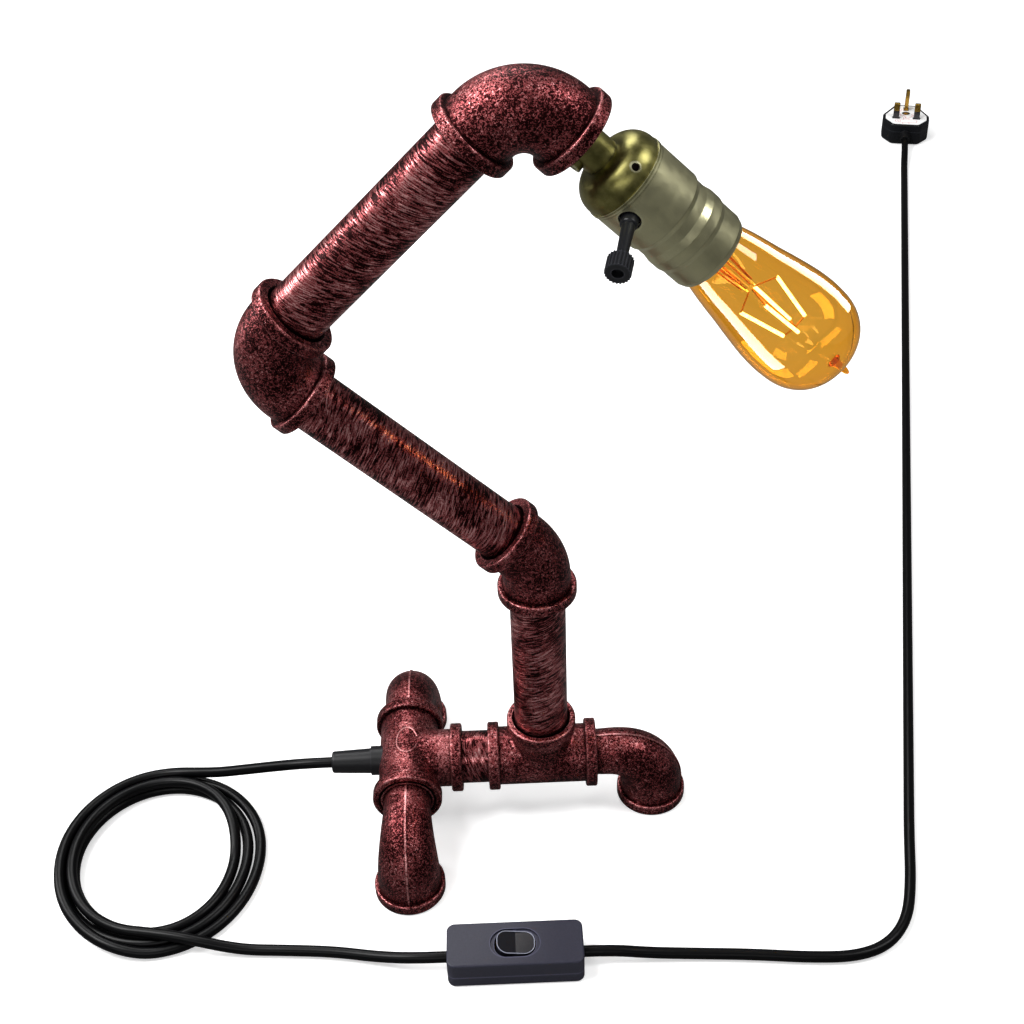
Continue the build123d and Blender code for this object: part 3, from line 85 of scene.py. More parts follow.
# ---- switch and plug: joint in metres, numbers in millimetres ------------------------------------
ROCKER_PIVOT = Vector(joints["rocker_press"]["pos_m"])
ROCKER_REST = math.radians(7)       # slope of the rocker's two halves, and its tilt at rest
ROCKER_HALVES = (11.5, 8.0, 6.5)    # half length, half width, corner
ROCKER_INSET = 0.25                 # from the rocker's edge to the middle of its bead
ROCKER_MIDDLE = 2.8                 # from the pivot up to the middle of the rocker's top
ROCKER_BEAD = 0.5                   # thickness of the bead
ROCKER_STEPS = 96
PLUG_TURN = math.radians(12)        # of the plug from straight back
PLUG_WAY = Vector((math.sin(PLUG_TURN), math.cos(PLUG_TURN), 0))
CARD_START = Vector((429.0, 910.0, 23.32))  # on the card's face, at its cord end
CARD_BOLD = 2.5                     # thick printed lines against thin ones
SLEEVE_TOP = 32.0                   # height above the table where the pins' sleeves end
# wiring diagram on the card: (across, along) from the cord end, in millimetres
CARD_LINES = [
    [(-1.9, 39.2), (-5.0, 38.3), (-7.6, 35.6), (-8.7, 32.2), (-8.5, 28.7), (-7.4, 25.9),
     (-5.9, 23.8), (-3.6, 21.4), (-2.2, 17.6)],
    [(-1.9, 37.6), (-4.3, 36.8), (-6.2, 34.8), (-7.0, 32.2), (-6.9, 29.0), (-5.9, 26.6),
     (-3.6, 24.4), (-1.5, 21.8), (-0.3, 17.6)],
    [(-9.5, 22.4), (-9.2, 24.2), (-7.8, 25.4), (-5.3, 25.6), (-2.9, 24.4), (-1.2, 22.4),
     (0.0, 19.0), (0.2, 17.2)],
    [(7.8, 26.6), (7.7, 24.9), (5.8, 23.1), (4.0, 21.4), (1.9, 19.0), (1.0, 17.2)],
    [(9.9, 25.2), (8.5, 23.8), (6.8, 22.1), (4.7, 20.4), (3.3, 18.6), (3.0, 17.2)],
    [(6.1, 29.0), (9.0, 29.0), (9.0, 25.9), (6.1, 25.9), (6.1, 29.0)],
    [(10.6, 30.8), (10.6, 21.8)], [(13.4, 30.8), (13.4, 21.8)],
    [(9.6, 36.7), (14.4, 36.7)], [(9.6, 30.8), (14.4, 30.8)],
    [(-9.5, 14.1), (9.2, 14.1), (11.0, 13.1), (11.7, 10.6), (11.0, 8.2), (9.2, 7.2), (-9.5, 7.2),
     (-11.2, 8.2), (-11.9, 10.6), (-11.2, 13.1), (-9.5, 14.1)],
    [(-2.9, 17.2), (3.0, 17.2)], [(-2.9, 17.2), (-2.9, 14.1)], [(3.0, 17.2), (3.0, 14.1)],
    [(-3.6, 7.0), (-3.6, 3.3)], [(3.0, 7.0), (3.0, 3.3)],
    [(-7.4, 12.0), (-6.0, 11.3), (-5.7, 10.1), (-6.4, 8.8), (-7.4, 8.4), (-8.5, 8.8),
     (-9.2, 10.1), (-8.8, 11.3), (-7.4, 12.0)],
]
CARD_BARS = [[(9.6, 36.9), (9.6, 30.6)], [(14.4, 36.9), (14.4, 30.6)]]

# ---- flex: its route in millimetres --------------------------------------------------------------
FLEX_Z = 3.6                # middle of the flex where it lies on the table
LEAD_ROUTE = [
    (-144.8, 0, 40), (-163, 0, 40), (-184, 3.5, 34.5), (-204, 9.5, 26), (-224, 15.8, 17.2),
    (-240, 20.4, 12.8),
]
COIL_MIDDLE = (-256.0, -43.6)
# radius and height of the flex at every quarter turn, from the far side round by the left
COIL_QUARTERS = [
    (66.0, 10.9), (63.3, 10.8), (72.6, FLEX_Z), (63.3, FLEX_Z),
    (66.0, FLEX_Z), (63.3, FLEX_Z), (65.2, FLEX_Z), (55.2, FLEX_Z),
    (58.6, FLEX_Z), (55.6, FLEX_Z), (57.8, FLEX_Z), (47.0, FLEX_Z),
    (58.6, 10.8), (55.6, 10.8), (62.0, 11.0),
]
COIL_STEPS = 6              # points in a quarter turn
SWITCH_ROUTE = [
    (-239, -109.6, 11.2), (-223, -112.8, 9.4), (-208, -115.0, 6.0), (-192, -116.6, FLEX_Z),
    (-174, -117.7, FLEX_Z), (-140, -120.4, FLEX_Z), (-113, -126.4, 4.8), (-90, -131, 8.5),
    (-71, -131, 8.5),
]
PLUG_ROUTE = [
    (11, -131, 8.5), (29, -131, 8.5), (50, -131.7, 5.4), (78, -132.4, FLEX_Z),
    (112, -134.6, FLEX_Z), (146, -138.4, FLEX_Z), (174, -139.2, FLEX_Z), (195, -132, FLEX_Z),
    (210, -114.5, FLEX_Z), (218, -88, FLEX_Z), (225.2, -50, FLEX_Z), (233.2, -12.2, FLEX_Z),
    (412.3, 831.4, FLEX_Z), (417.8, 857.5, FLEX_Z), (423.18, 882.61, 11), (426.5, 898.26, 11),
]
FLEX_SMOOTH = 6             # fineness of its line and of its round

# ---- studio: metres and watts --------------------------------------------------------------------
SENSOR = 36.0               # width in millimetres
FOCAL_LENGTH = 56.25        # in millimetres
FAR_SIGHT = 20.0
CAMERA_SPOT = (-0.02078, -0.7061, 0.82445)
CAMERA_RIGHT = Vector((0.99913, -0.02619, -0.03232))
CAMERA_DOWN = Vector((-0.04159, -0.63402, -0.7722))
CAMERA_AHEAD = Vector((-0.00027, 0.77288, -0.63456))
# name, place, what it points at, width, depth, power
SOFTBOXES = (
    ("key_softbox", (-0.95, -0.15, 1.7), (-0.06, 0, 0.28), 0.7, 0.7, 29.0),
    ("fill_softbox", (1.05, -0.1, 1.6), (0, 0, 0.3), 0.5, 0.8, 12.0),
    ("top_softbox", (-0.35, 1.1, 1.5), (-0.04, 0, 0.25), 1.0, 0.5, 13.0),
    ("left_softbox", (-1.22, 0.35, 0.82), (-0.08, 0, 0.32), 0.45, 0.9, 10.0),
    ("front_softbox", (-0.5, -1.8, 1.2), (0, 0, 0.2), 1.6, 0.5, 7.0),
)
# strips that only the bulb's glass mirrors: name, way from the bulb, distance, width, depth, power
STRIPS = (
    ("strip_above", (0.6, 0.66, 0.42), 0.8, 0.36, 0.9, 9.0),
    ("strip_below", (-0.66, -0.38, -0.62), 0.3, 0.14, 0.34, 1.8),
)
FLOOR_REACH = 4.0           # half the side of the square floor
FLOOR_DROP = 0.3 * MM       # keeps the paper just under the flat feet
PAPER_CLOUD = 16 * MM       # width of the paper's faint clouds
PAPER_TONES = (0.86, 0.9)   # share of the studio's colour in a cloud and between clouds
PAPER_GLOW = 0.5            # light added where the paper is looked at
PAPER_DIM = 0.85            # share of black where metal mirrors the paper
SKY_LIGHT = 0.12            # strength of the surroundings where they only light the lamp

# ---- wear, painted shade and highlights, and tint ------------------------------------------------
SHADE_SAMPLES = 6               # rays that look for nearby surfaces
EDGE_SHADES = (0.93, 0.66)      # room behind a surface where an outer edge begins, and is full
CORNER_SHADES = (0.8, 0.35)     # room in front of it where an inner corner begins, and is full
NOISE_SPAN = (0.3, 0.7)         # where most of a noise's heights lie
RED_HEIGHTS = (0.46, 0.54)      # height at which the crimson coat begins, and where it covers
ROSE_HEIGHTS = (0.58, 0.76)     # the same for the rose coat
SHINY_HEIGHTS = (0.42, 0.7)     # from the dull hollows to the rubbed heights
STREAK_SWING = math.radians(30)     # how far the brush wanders from its slant
MELT = 1.1                      # strength of the glass's tint through one wall


# ---- sizes and colours that a user would change --------------------------------------------------
class PipeLampSizes(bpy.types.PropertyGroup):
    """Real sizes of the lamp's patterns and small pieces."""

    flex_diameter: bpy.props.FloatProperty(
        name="Flex diameter", description="Outside diameter of the mains flex",
        default=7 * MM, min=2 * MM, max=12 * MM, precision=4, unit="LENGTH",
    )
    pebble: bpy.props.FloatProperty(
        name="Pebble", description="Width of one pebble of the sand-cast skin",
        default=1.15 * MM, min=0.3 * MM, max=5 * MM, precision=5, unit="LENGTH",
    )
    streak_width: bpy.props.FloatProperty(
        name="Streak width", description="Width of one dry-brushed streak on the pipes",
        default=0.8 * MM, min=0.2 * MM, max=5 * MM, precision=5, unit="LENGTH",
    )
    streak_length: bpy.props.FloatProperty(
        name="Streak length", description="Length of one dry-brushed streak round a pipe",
        default=7 * MM, min=2 * MM, max=80 * MM, precision=4, unit="LENGTH",
    )
    streak_slant: bpy.props.FloatProperty(
        name="Streak slant", description="Slant of the streaks from square to the pipe",
        default=math.radians(20), min=0, max=math.radians(45), unit="ROTATION",
    )
    patch: bpy.props.FloatProperty(
        name="Patch", description="Size of the patches that were brushed harder",
        default=21 * MM, min=5 * MM, max=100 * MM, precision=4, unit="LENGTH",
    )
    glass_wall: bpy.props.FloatProperty(
        name="Glass wall", description="Wall of the bulb's envelope",
        default=0.9 * MM, min=0.4 * MM, max=2 * MM, precision=5, unit="LENGTH",
    )
    print_line: bpy.props.FloatProperty(
        name="Printed line", description="Width of the lines printed on the plug's card",
        default=0.34 * MM, min=0.1 * MM, max=1 * MM, precision=5, unit="LENGTH",
    )


class PipeLampColours(bpy.types.PropertyGroup):
    """Colours of the lamp's finishes."""

    paint_dark: bpy.props.FloatVectorProperty(
        name="Paint, hollows", description="Dark maroon metallic undercoat left in the hollows",
        subtype="COLOR", size=4, min=0, max=1, default=linear("#1f0708"),
    )
    paint_red: bpy.props.FloatVectorProperty(
        name="Paint, pebbles", description="Crimson dry-brushed over the pebbles",
        subtype="COLOR", size=4, min=0, max=1, default=linear("#984a4c"),
    )
    paint_light: bpy.props.FloatVectorProperty(
        name="Paint, crests", description="Rose rubbed onto the highest crests and edges",
        subtype="COLOR", size=4, min=0, max=1, default=linear("#e6a5a4"),
    )
    brass: bpy.props.FloatVectorProperty(
        name="Antique brass", description="Olive-brown lacquered brass of the lampholder",
        subtype="COLOR", size=4, min=0, max=1, default=linear("#928c54"),
    )
    glass: bpy.props.FloatVectorProperty(
        name="Amber glass", description="Light that the bulb's glass lets through",
        subtype="COLOR", size=4, min=0, max=1, default=linear("#fae102"),
    )
    glow: bpy.props.FloatVectorProperty(
        name="Filament glow", description="Colour of the lit filaments",
        subtype="COLOR", size=4, min=0, max=1, default=linear("#fff0d0"),
    )
    flex: bpy.props.FloatVectorProperty(
        name="Flex", description="Black sheath of the mains flex",
        subtype="COLOR", size=4, min=0, max=1, default=linear("#030304"),
    )
    switch: bpy.props.FloatVectorProperty(
        name="Switch", description="Blue-black moulding of the in-line switch",
        subtype="COLOR", size=4, min=0, max=1, default=linear("#272734"),
    )
    card: bpy.props.FloatVectorProperty(
        name="Card", description="Pale card on the plug's face",
        subtype="COLOR", size=4, min=0, max=1, default=linear("#d9dce2"),
    )
    card_print: bpy.props.FloatVectorProperty(
        name="Card print", description="Red ink of the wiring diagram",
        subtype="COLOR", size=4, min=0, max=1, default=linear("#cf3b46"),
    )
    pin_brass: bpy.props.FloatVectorProperty(
        name="Pin brass", description="Bright drawn brass of the plug's pins",
        subtype="COLOR", size=4, min=0, max=1, default=linear("#c9a04a"),
    )
    studio: bpy.props.FloatVectorProperty(
        name="Studio", description="Pale floor and walls of the studio",
        subtype="COLOR", size=4, min=0, max=1, default=linear("#f4f4f4"),
    )


def sizes():
    """Sizes as they are set now."""
    return bpy.context.scene.pipe_lamp_sizes


def colours():
    """Colours as they are set now."""
    return bpy.context.scene.pipe_lamp_colours


# ---- shared tools --------------------------------------------------------------------------------
def node(tree, kind, inputs=None, **settings):
    """Adds a node, sets its settings, and sets or links its inputs by name or number."""
    made = tree.nodes.new(kind)
    for name, value in settings.items():
        setattr(made, name, value)
    for name, value in (inputs or {}).items():
        if isinstance(value, bpy.types.NodeSocket):
            tree.links.new(value, made.inputs[name])
        else:
            made.inputs[name].default_value = value
    return made


def new_material(name):
    """Empty node material and its tree."""
    material = bpy.data.materials.new(name)
    material.use_nodes = True
    material.node_tree.nodes.clear()
    return material, material.node_tree


def finish(material, shader):
    """Links a shader to the material's output."""
    node(material.node_tree, "ShaderNodeOutputMaterial", {"Surface": shader.outputs[0]})
    return material


def give(material, *names):
    """Puts one material on CAD nodes."""
    for name in names:
        slots = nodes[name].data.materials
        slots.clear()
        slots.append(material)


def place(name, mesh, material, body):
    """Makes an object of a mesh in the frame and lets it ride on a body."""
    piece = bpy.data.objects.new(name, mesh)
    bpy.context.scene.collection.objects.link(piece)
    mesh.materials.append(material)
    for polygon in mesh.polygons:
        polygon.use_smooth = True
    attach(piece, body)
    return piece


def meshed(name, shape):
    """Mesh made from a bmesh, which is freed."""
    mesh = bpy.data.meshes.new(name)
    shape.to_mesh(mesh)
    shape.free()
    return mesh


def lathe(name, profile, steps=96):
    """Mesh turned round the head's axis from (radius, distance) points in millimetres."""
    shape = bmesh.new()
    rings = []
    for radius, distance in profile:
        if radius < 1e-6:
            rings.append([shape.verts.new(HEAD @ Vector((0, 0, distance * MM)))])
            continue
        ring = []
        for step in range(steps):
            angle = 2 * math.pi * step / steps
            spot = Vector((radius * math.cos(angle), radius * math.sin(angle), distance)) * MM
            ring.append(shape.verts.new(HEAD @ spot))
        rings.append(ring)
    for one, two in zip(rings, rings[1:]):
        for step in range(steps):
            around = (
                one[step % len(one)], one[(step + 1) % len(one)],
                two[(step + 1) % len(two)], two[step % len(two)],
            )
            face = list(dict.fromkeys(around))
            if len(face) > 2:
                shape.faces.new(face)
    bmesh.ops.recalc_face_normals(shape, faces=shape.faces)
    return meshed(name, shape)


def tube(name, lines, diameter, cyclic=False, smooth=3):
    """Mesh of round wires through lists of points in metres; smooth is how fine their round is."""
    curve = bpy.data.curves.new(name + "_line", "CURVE")
    curve.dimensions = "3D"
    curve.bevel_depth = diameter / 2
    curve.bevel_resolution = smooth
    curve.use_fill_caps = True
    for points in lines:
        spline = curve.splines.new("POLY")
        spline.points.add(len(points) - 1)
        for point, spot in zip(spline.points, points):
            point.co = (*spot, 1)
        spline.use_cyclic_u = cyclic
    holder = bpy.data.objects.new(name + "_line", curve)
    mesh = bpy.data.meshes.new_from_object(holder)
    mesh.name = name
    bpy.data.objects.remove(holder)
    bpy.data.curves.remove(curve)
    return mesh


def strips(name, lines, width, spot):
    """Flat mesh of printed lines; spot turns a drawn point into a place in the frame."""
    shape = bmesh.new()
    for line in lines:
        points = [Vector(point) for point in line]
        sides = []
        for number, point in enumerate(points):
            back = points[max(number - 1, 0)]
            on = points[min(number + 1, len(points) - 1)]
            before = (point - back).normalized() if number else (on - point).normalized()
            after = (on - point).normalized() if on != point else before
            middle = (before + after).normalized()
            across = Vector((-middle.y, middle.x)) * width / 2 / max(middle.dot(after), 0.5)
            sides.append([
                shape.verts.new(spot(side)) for side in (point + across, point - across)
            ])
        for one, two in zip(sides, sides[1:]):
            shape.faces.new((one[0], one[1], two[1], two[0]))
    return meshed(name, shape)


def eased(profile, steps=5):
    """Smooth (Catmull-Rom) line through (radius, distance) points."""
    ends = [profile[0], *profile, profile[-1]]
    line = []
    for a, b, c, d in zip(ends, ends[1:], ends[2:], ends[3:]):
        for step in range(steps):
            t = step / steps
            line.append(tuple(
                0.5 * (2 * q + (r - p) * t + (2 * p - 5 * q + 4 * r - s) * t * t
                       + (3 * q - p - 3 * r + s) * t ** 3)
                for p, q, r, s in zip(a, b, c, d)
            ))
    line.append(profile[-1])
    return line


# ---- finishes ------------------------------------------------------------------------------------
def ramp(tree, value, start, end, low=0.0, high=1.0):
    """Output that goes smoothly from low to high while the value goes from start to end."""
    return node(tree, "ShaderNodeMapRange", {
        "Value": value, "From Min": start, "From Max": end, "To Min": low, "To Max": high,
    }, interpolation_type="SMOOTHSTEP").outputs[0]


def weighed(tree, value, weight, base):
    """Output of value * weight + base."""
    return node(tree, "ShaderNodeMath", {
        0: value, 1: weight, 2: base,
    }, operation="MULTIPLY_ADD").outputs[0]


def noise(tree, spot, size, **settings):
    """Noise height whose grains are about size metres wide."""
    inputs = {"Vector": spot, "Scale": 1 / size}
    inputs.update({name.capitalize(): value for name, value in settings.items()})
    return node(tree, "ShaderNodeTexNoise", inputs).outputs[0]


def blended(tree, share, one, two):
    """Colour between two, by a share from 0 to 1."""
    return node(tree, "ShaderNodeMix", {0: share, 6: one, 7: two}, data_type="RGBA").outputs[2]


def outer_edges(tree, reach):
    """1 on outer edges, for painted highlights and, in the paint, rubbed wear; 0 on open faces."""
    inside = node(tree, "ShaderNodeAmbientOcclusion", {"Distance": reach},
                  samples=SHADE_SAMPLES, inside=True, only_local=True)
    return ramp(tree, inside.outputs["AO"], *EDGE_SHADES)


def corners(tree, reach):
    """1 in inner corners, which are darkened as painted shade, and 0 in the open."""
    around = node(tree, "ShaderNodeAmbientOcclusion", {"Distance": reach}, samples=SHADE_SAMPLES)
    return ramp(tree, around.outputs["AO"], *CORNER_SHADES)


def rubbed_paint(material, tree, height, skin, depth, dull, shiny):
    """Undercoat in the hollows, crimson on the heights, rose on the crests and edges.

    Height, from 0 to 1, says which coat shows; skin is the relief, as deep as depth; dull and
    shiny are the roughness of the hollows and of the rubbed heights.
    """
    paint = colours()
    # rubbed wear and painted highlight: outer edges lean to the crimson and rose coats
    height = weighed(tree, outer_edges(tree, reach=1.7 * MM), weight=0.2, base=height)
    # painted shade: inner corners lean to the dark undercoat, which the brush also leaves there
    height = weighed(tree, corners(tree, reach=5 * MM), weight=-0.28, base=height)
    colour = blended(tree, ramp(tree, height, *RED_HEIGHTS), paint.paint_dark, paint.paint_red)
    colour = blended(tree, ramp(tree, height, *ROSE_HEIGHTS), colour, paint.paint_light)
    relief = node(tree, "ShaderNodeBump", {"Height": skin, "Strength": 0.8, "Distance": depth})
    return finish(material, node(tree, "ShaderNodeBsdfPrincipled", {
        "Base Color": colour, "Roughness": ramp(tree, height, *SHINY_HEIGHTS, dull, shiny),
        "Metallic": 0.9, "Normal": relief.outputs[0], "Specular IOR Level": 0.05,
    }))


def cast_paint():
    """Malleable iron, sand-cast, with antique paint rubbed over its pebbly skin.

    The eye gets a fine worm-like grain, dark in the hollows, red on the pebbles, rose on the edges.
    """
    material, tree = new_material("antique_paint_on_sand_cast_iron")
    spot = node(tree, "ShaderNodeTexCoord").outputs["Object"]
    pebbles = noise(tree, spot, size=sizes().pebble, detail=1.4, roughness=0.55, distortion=1.3)
    patches = noise(tree, spot, size=sizes().patch, detail=2.0)
    height = weighed(tree, pebbles, weight=1.0, base=-0.07)
    height = weighed(tree, ramp(tree, patches, 0.35, 0.65), weight=0.1, base=height)
    return rubbed_paint(material, tree, height, pebbles, depth=0.28 * MM, dull=0.46, shiny=0.33)


def pipe_paint(name, way):
    """Drawn steel pipe with the same antique paint dry-brushed round it.

    The eye gets thin slanted streaks across the pipe, gathered in patches, over a dark undercoat.
    The grit between the streaks is drawn coarser than the real one, so that it shows.
    """
    material, tree = new_material("antique_paint_on_drawn_steel_" + name)
    spot = node(tree, "ShaderNodeTexCoord").outputs["Object"]
    width, length = sizes().streak_width, sizes().streak_length
    wander = noise(tree, spot, size=2 * sizes().patch, detail=1.0)
    angle = math.atan2(way[2], way[0]) + sizes().streak_slant
    box = nodes[name].bound_box
    lined = node(tree, "ShaderNodeVectorRotate", {
        "Vector": spot, "Angle": weighed(tree, wander, STREAK_SWING, angle - STREAK_SWING / 2),
        "Center": (Vector(box[0]) + Vector(box[6])) / 2,
    }, rotation_type="Y_AXIS")
    drawn = node(tree, "ShaderNodeVectorMath", {
        0: lined.outputs[0], 1: (1 / width, 1 / length, 1 / length),
    }, operation="MULTIPLY").outputs[0]
    streaks = noise(tree, drawn, size=1.0, detail=2.4, roughness=0.6, distortion=0.3)
    grit = noise(tree, spot, size=0.7 * MM, detail=1.0)
    patches = noise(tree, spot, size=sizes().patch, detail=2.5, roughness=0.6)
    skin = weighed(tree, streaks, weight=0.8, base=-0.05)
    skin = weighed(tree, grit, weight=0.3, base=skin)
    height = weighed(tree, skin, weight=1.6, base=-0.37)
    height = weighed(tree, ramp(tree, patches, 0.36, 0.62), weight=0.16, base=height)
    return rubbed_paint(material, tree, height, skin, depth=0.11 * MM, dull=0.4, shiny=0.27)


def antique_brass():
    """Spun brass, chemically browned and lacquered: a soft olive metal with faint cloudy patches.

    The eye gets a satin sheen, a painted highlight of pale bare brass on the lips and painted shade
    in the corners.
    """
    material, tree = new_material("antique_brass_spun_and_lacquered")
    spot = node(tree, "ShaderNodeTexCoord").outputs["Object"]
    clouds = noise(tree, spot, size=6 * MM, detail=3.0, roughness=0.6)
    tone = blended(tree, ramp(tree, clouds, *NOISE_SPAN), linear("#78733f"), colours().brass)
    # painted shade: darker brass in the inner corners
    tone = blended(tree, corners(tree, reach=4 * MM), tone, linear("#5a573c"))
    # painted highlight: pale bare-brass colour on the outer edges and lips
    tone = blended(tree, outer_edges(tree, reach=1.2 * MM), tone, linear("#e6e2b8"))
    dents = node(tree, "ShaderNodeBump", {"Height": clouds, "Strength": 0.2, "Distance": 0.3 * MM})
    return finish(material, node(tree, "ShaderNodeBsdfPrincipled", {
        "Base Color": tone, "Metallic": 0.97,
        "Roughness": ramp(tree, clouds, *NOISE_SPAN, low=0.3, high=0.4),
        "Normal": dents.outputs[0], "Coat Weight": 0.05, "Coat Roughness": 0.25,
    }))


def scaled(colour, share):
    """Colour made darker or lighter by a share."""
    return (*(min(1.0, share * channel) for channel in colour[:3]), 1.0)


def moulded(name, colour, rough, grain, depth, shine=0.3):
    """Moulded, pressed or extruded piece of one colour, broken by the fine grain of its mould.

    The eye gets a soft sheen, a faint speckle and slightly lighter edges as a painted highlight.
    Grain and depth are in millimetres, and the grain is drawn coarser than the real one, so
    that it shows.
    """
    material, tree = new_material(name)
    spot = node(tree, "ShaderNodeTexCoord").outputs["Object"]
    specks = noise(tree, spot, size=grain * MM, detail=2.0)
    tone = blended(tree, specks, scaled(colour, 0.7), scaled(colour, 1.3))
    # painted highlight: outer edges made three times lighter than the piece's colour
    tone = blended(tree, outer_edges(tree, reach=0.8 * MM), tone, scaled(colour, 3.0))
    bump = node(tree, "ShaderNodeBump", {"Height": specks, "Strength": 0.5, "Distance": depth * MM})
    return finish(material, node(tree, "ShaderNodeBsdfPrincipled", {
        "Base Color": tone, "Roughness": rough, "Normal": bump.outputs[0],
        "Specular IOR Level": shine,
    }))


def plain_metal(name, colour, rough):
    """Turned, drawn or pressed metal.

    The eye gets a bright surface with fine scuffs left by the tool, drawn coarse enough to show.
    """
    material, tree = new_material(name)
    spot = node(tree, "ShaderNodeTexCoord").outputs["Object"]
    scuffs = noise(tree, spot, size=1.5 * MM, detail=3.0)
    return finish(material, node(tree, "ShaderNodeBsdfPrincipled", {
        "Base Color": blended(tree, scuffs, scaled(colour, 0.8), colour), "Metallic": 1.0,
        "Roughness": ramp(tree, scuffs, *NOISE_SPAN, low=rough * 0.7, high=rough * 1.4),
    }))


def sleeved_pin():
    """Drawn brass pin whose root is over-moulded with black nylon up to the sleeve's end.

    The eye gets a black sleeve that ends in a sharp line at bright, lightly scuffed brass.
    """
    material, tree = new_material("pin_brass_drawn_and_sleeved")
    spot = node(tree, "ShaderNodeTexCoord").outputs["Object"]
    height = node(tree, "ShaderNodeSeparateXYZ", {"Vector": spot}).outputs["Z"]
    bare = node(tree, "ShaderNodeMath", {0: height, 1: SLEEVE_TOP * MM}, operation="GREATER_THAN")
    scuffs = noise(tree, spot, size=0.8 * MM, detail=2.0)
    brass = blended(tree, scuffs, scaled(colours().pin_brass, 0.75), colours().pin_brass)
    return finish(material, node(tree, "ShaderNodeBsdfPrincipled", {
        "Base Color": blended(tree, bare.outputs[0], linear("#1a1a1d"), brass),
        "Metallic": bare.outputs[0],
        "Roughness": ramp(tree, scuffs, *NOISE_SPAN, low=0.2, high=0.36),
    }))


def amber_glass():
    """Blown soda-lime glass melted amber: the longer the way through the wall, the browner it gets.

    The eye gets a clear golden middle, dark golden lines along the outline and sharp reflections.
    """
    material, tree = new_material("amber_glass_blown")
    spot = node(tree, "ShaderNodeTexCoord").outputs["Object"]
    waves = noise(tree, spot, size=18 * MM, detail=1.0)
    ripple = node(tree, "ShaderNodeBump", {"Height": waves, "Strength": 0.1, "Distance": 0.4 * MM})
    surface = node(tree, "ShaderNodeBsdfPrincipled", {
        "Base Color": linear("#fff0d2"), "Roughness": 0.0, "IOR": 1.52, "Transmission Weight": 1.0,
        "Normal": ripple.outputs[0],
    })
    melt = node(tree, "ShaderNodeVolumeAbsorption", {
        "Color": colours().glass, "Density": MELT / sizes().glass_wall,
    })
    node(tree, "ShaderNodeOutputMaterial", {
        "Surface": surface.outputs[0], "Volume": melt.outputs[0],
    })
    return material


def clear_glass():
    """Pressed lead glass of the stem.

    The eye gets clear glass with a faint warm cast and the soft ripple of its mould.
    """
    material, tree = new_material("clear_glass_pressed")
    spot = node(tree, "ShaderNodeTexCoord").outputs["Object"]
    waves = noise(tree, spot, size=3 * MM)
    ripple = node(tree, "ShaderNodeBump", {"Height": waves, "Strength": 0.2, "Distance": 0.2 * MM})
    return finish(material, node(tree, "ShaderNodeBsdfPrincipled", {
        "Base Color": linear("#fff1cf"), "Roughness": 0.03, "IOR": 1.5,
        "Transmission Weight": 1.0, "Normal": ripple.outputs[0],
    }))


def lit_filament():
    """Filament stick in its phosphor coat, lit.

    The eye gets a white-hot stick, a little dimmer between the beads of its coat.
    """
    material, tree = new_material("lit_filament_phosphor_coated")
    spot = node(tree, "ShaderNodeTexCoord").outputs["Object"]
    beads = noise(tree, spot, size=1.2 * MM)
    return finish(material, node(tree, "ShaderNodeBsdfPrincipled", {
        "Base Color": linear("#e8c478"), "Roughness": 0.6, "Emission Color": colours().glow,
        "Emission Strength": ramp(tree, beads, *NOISE_SPAN, low=5.0, high=9.0),
    }))


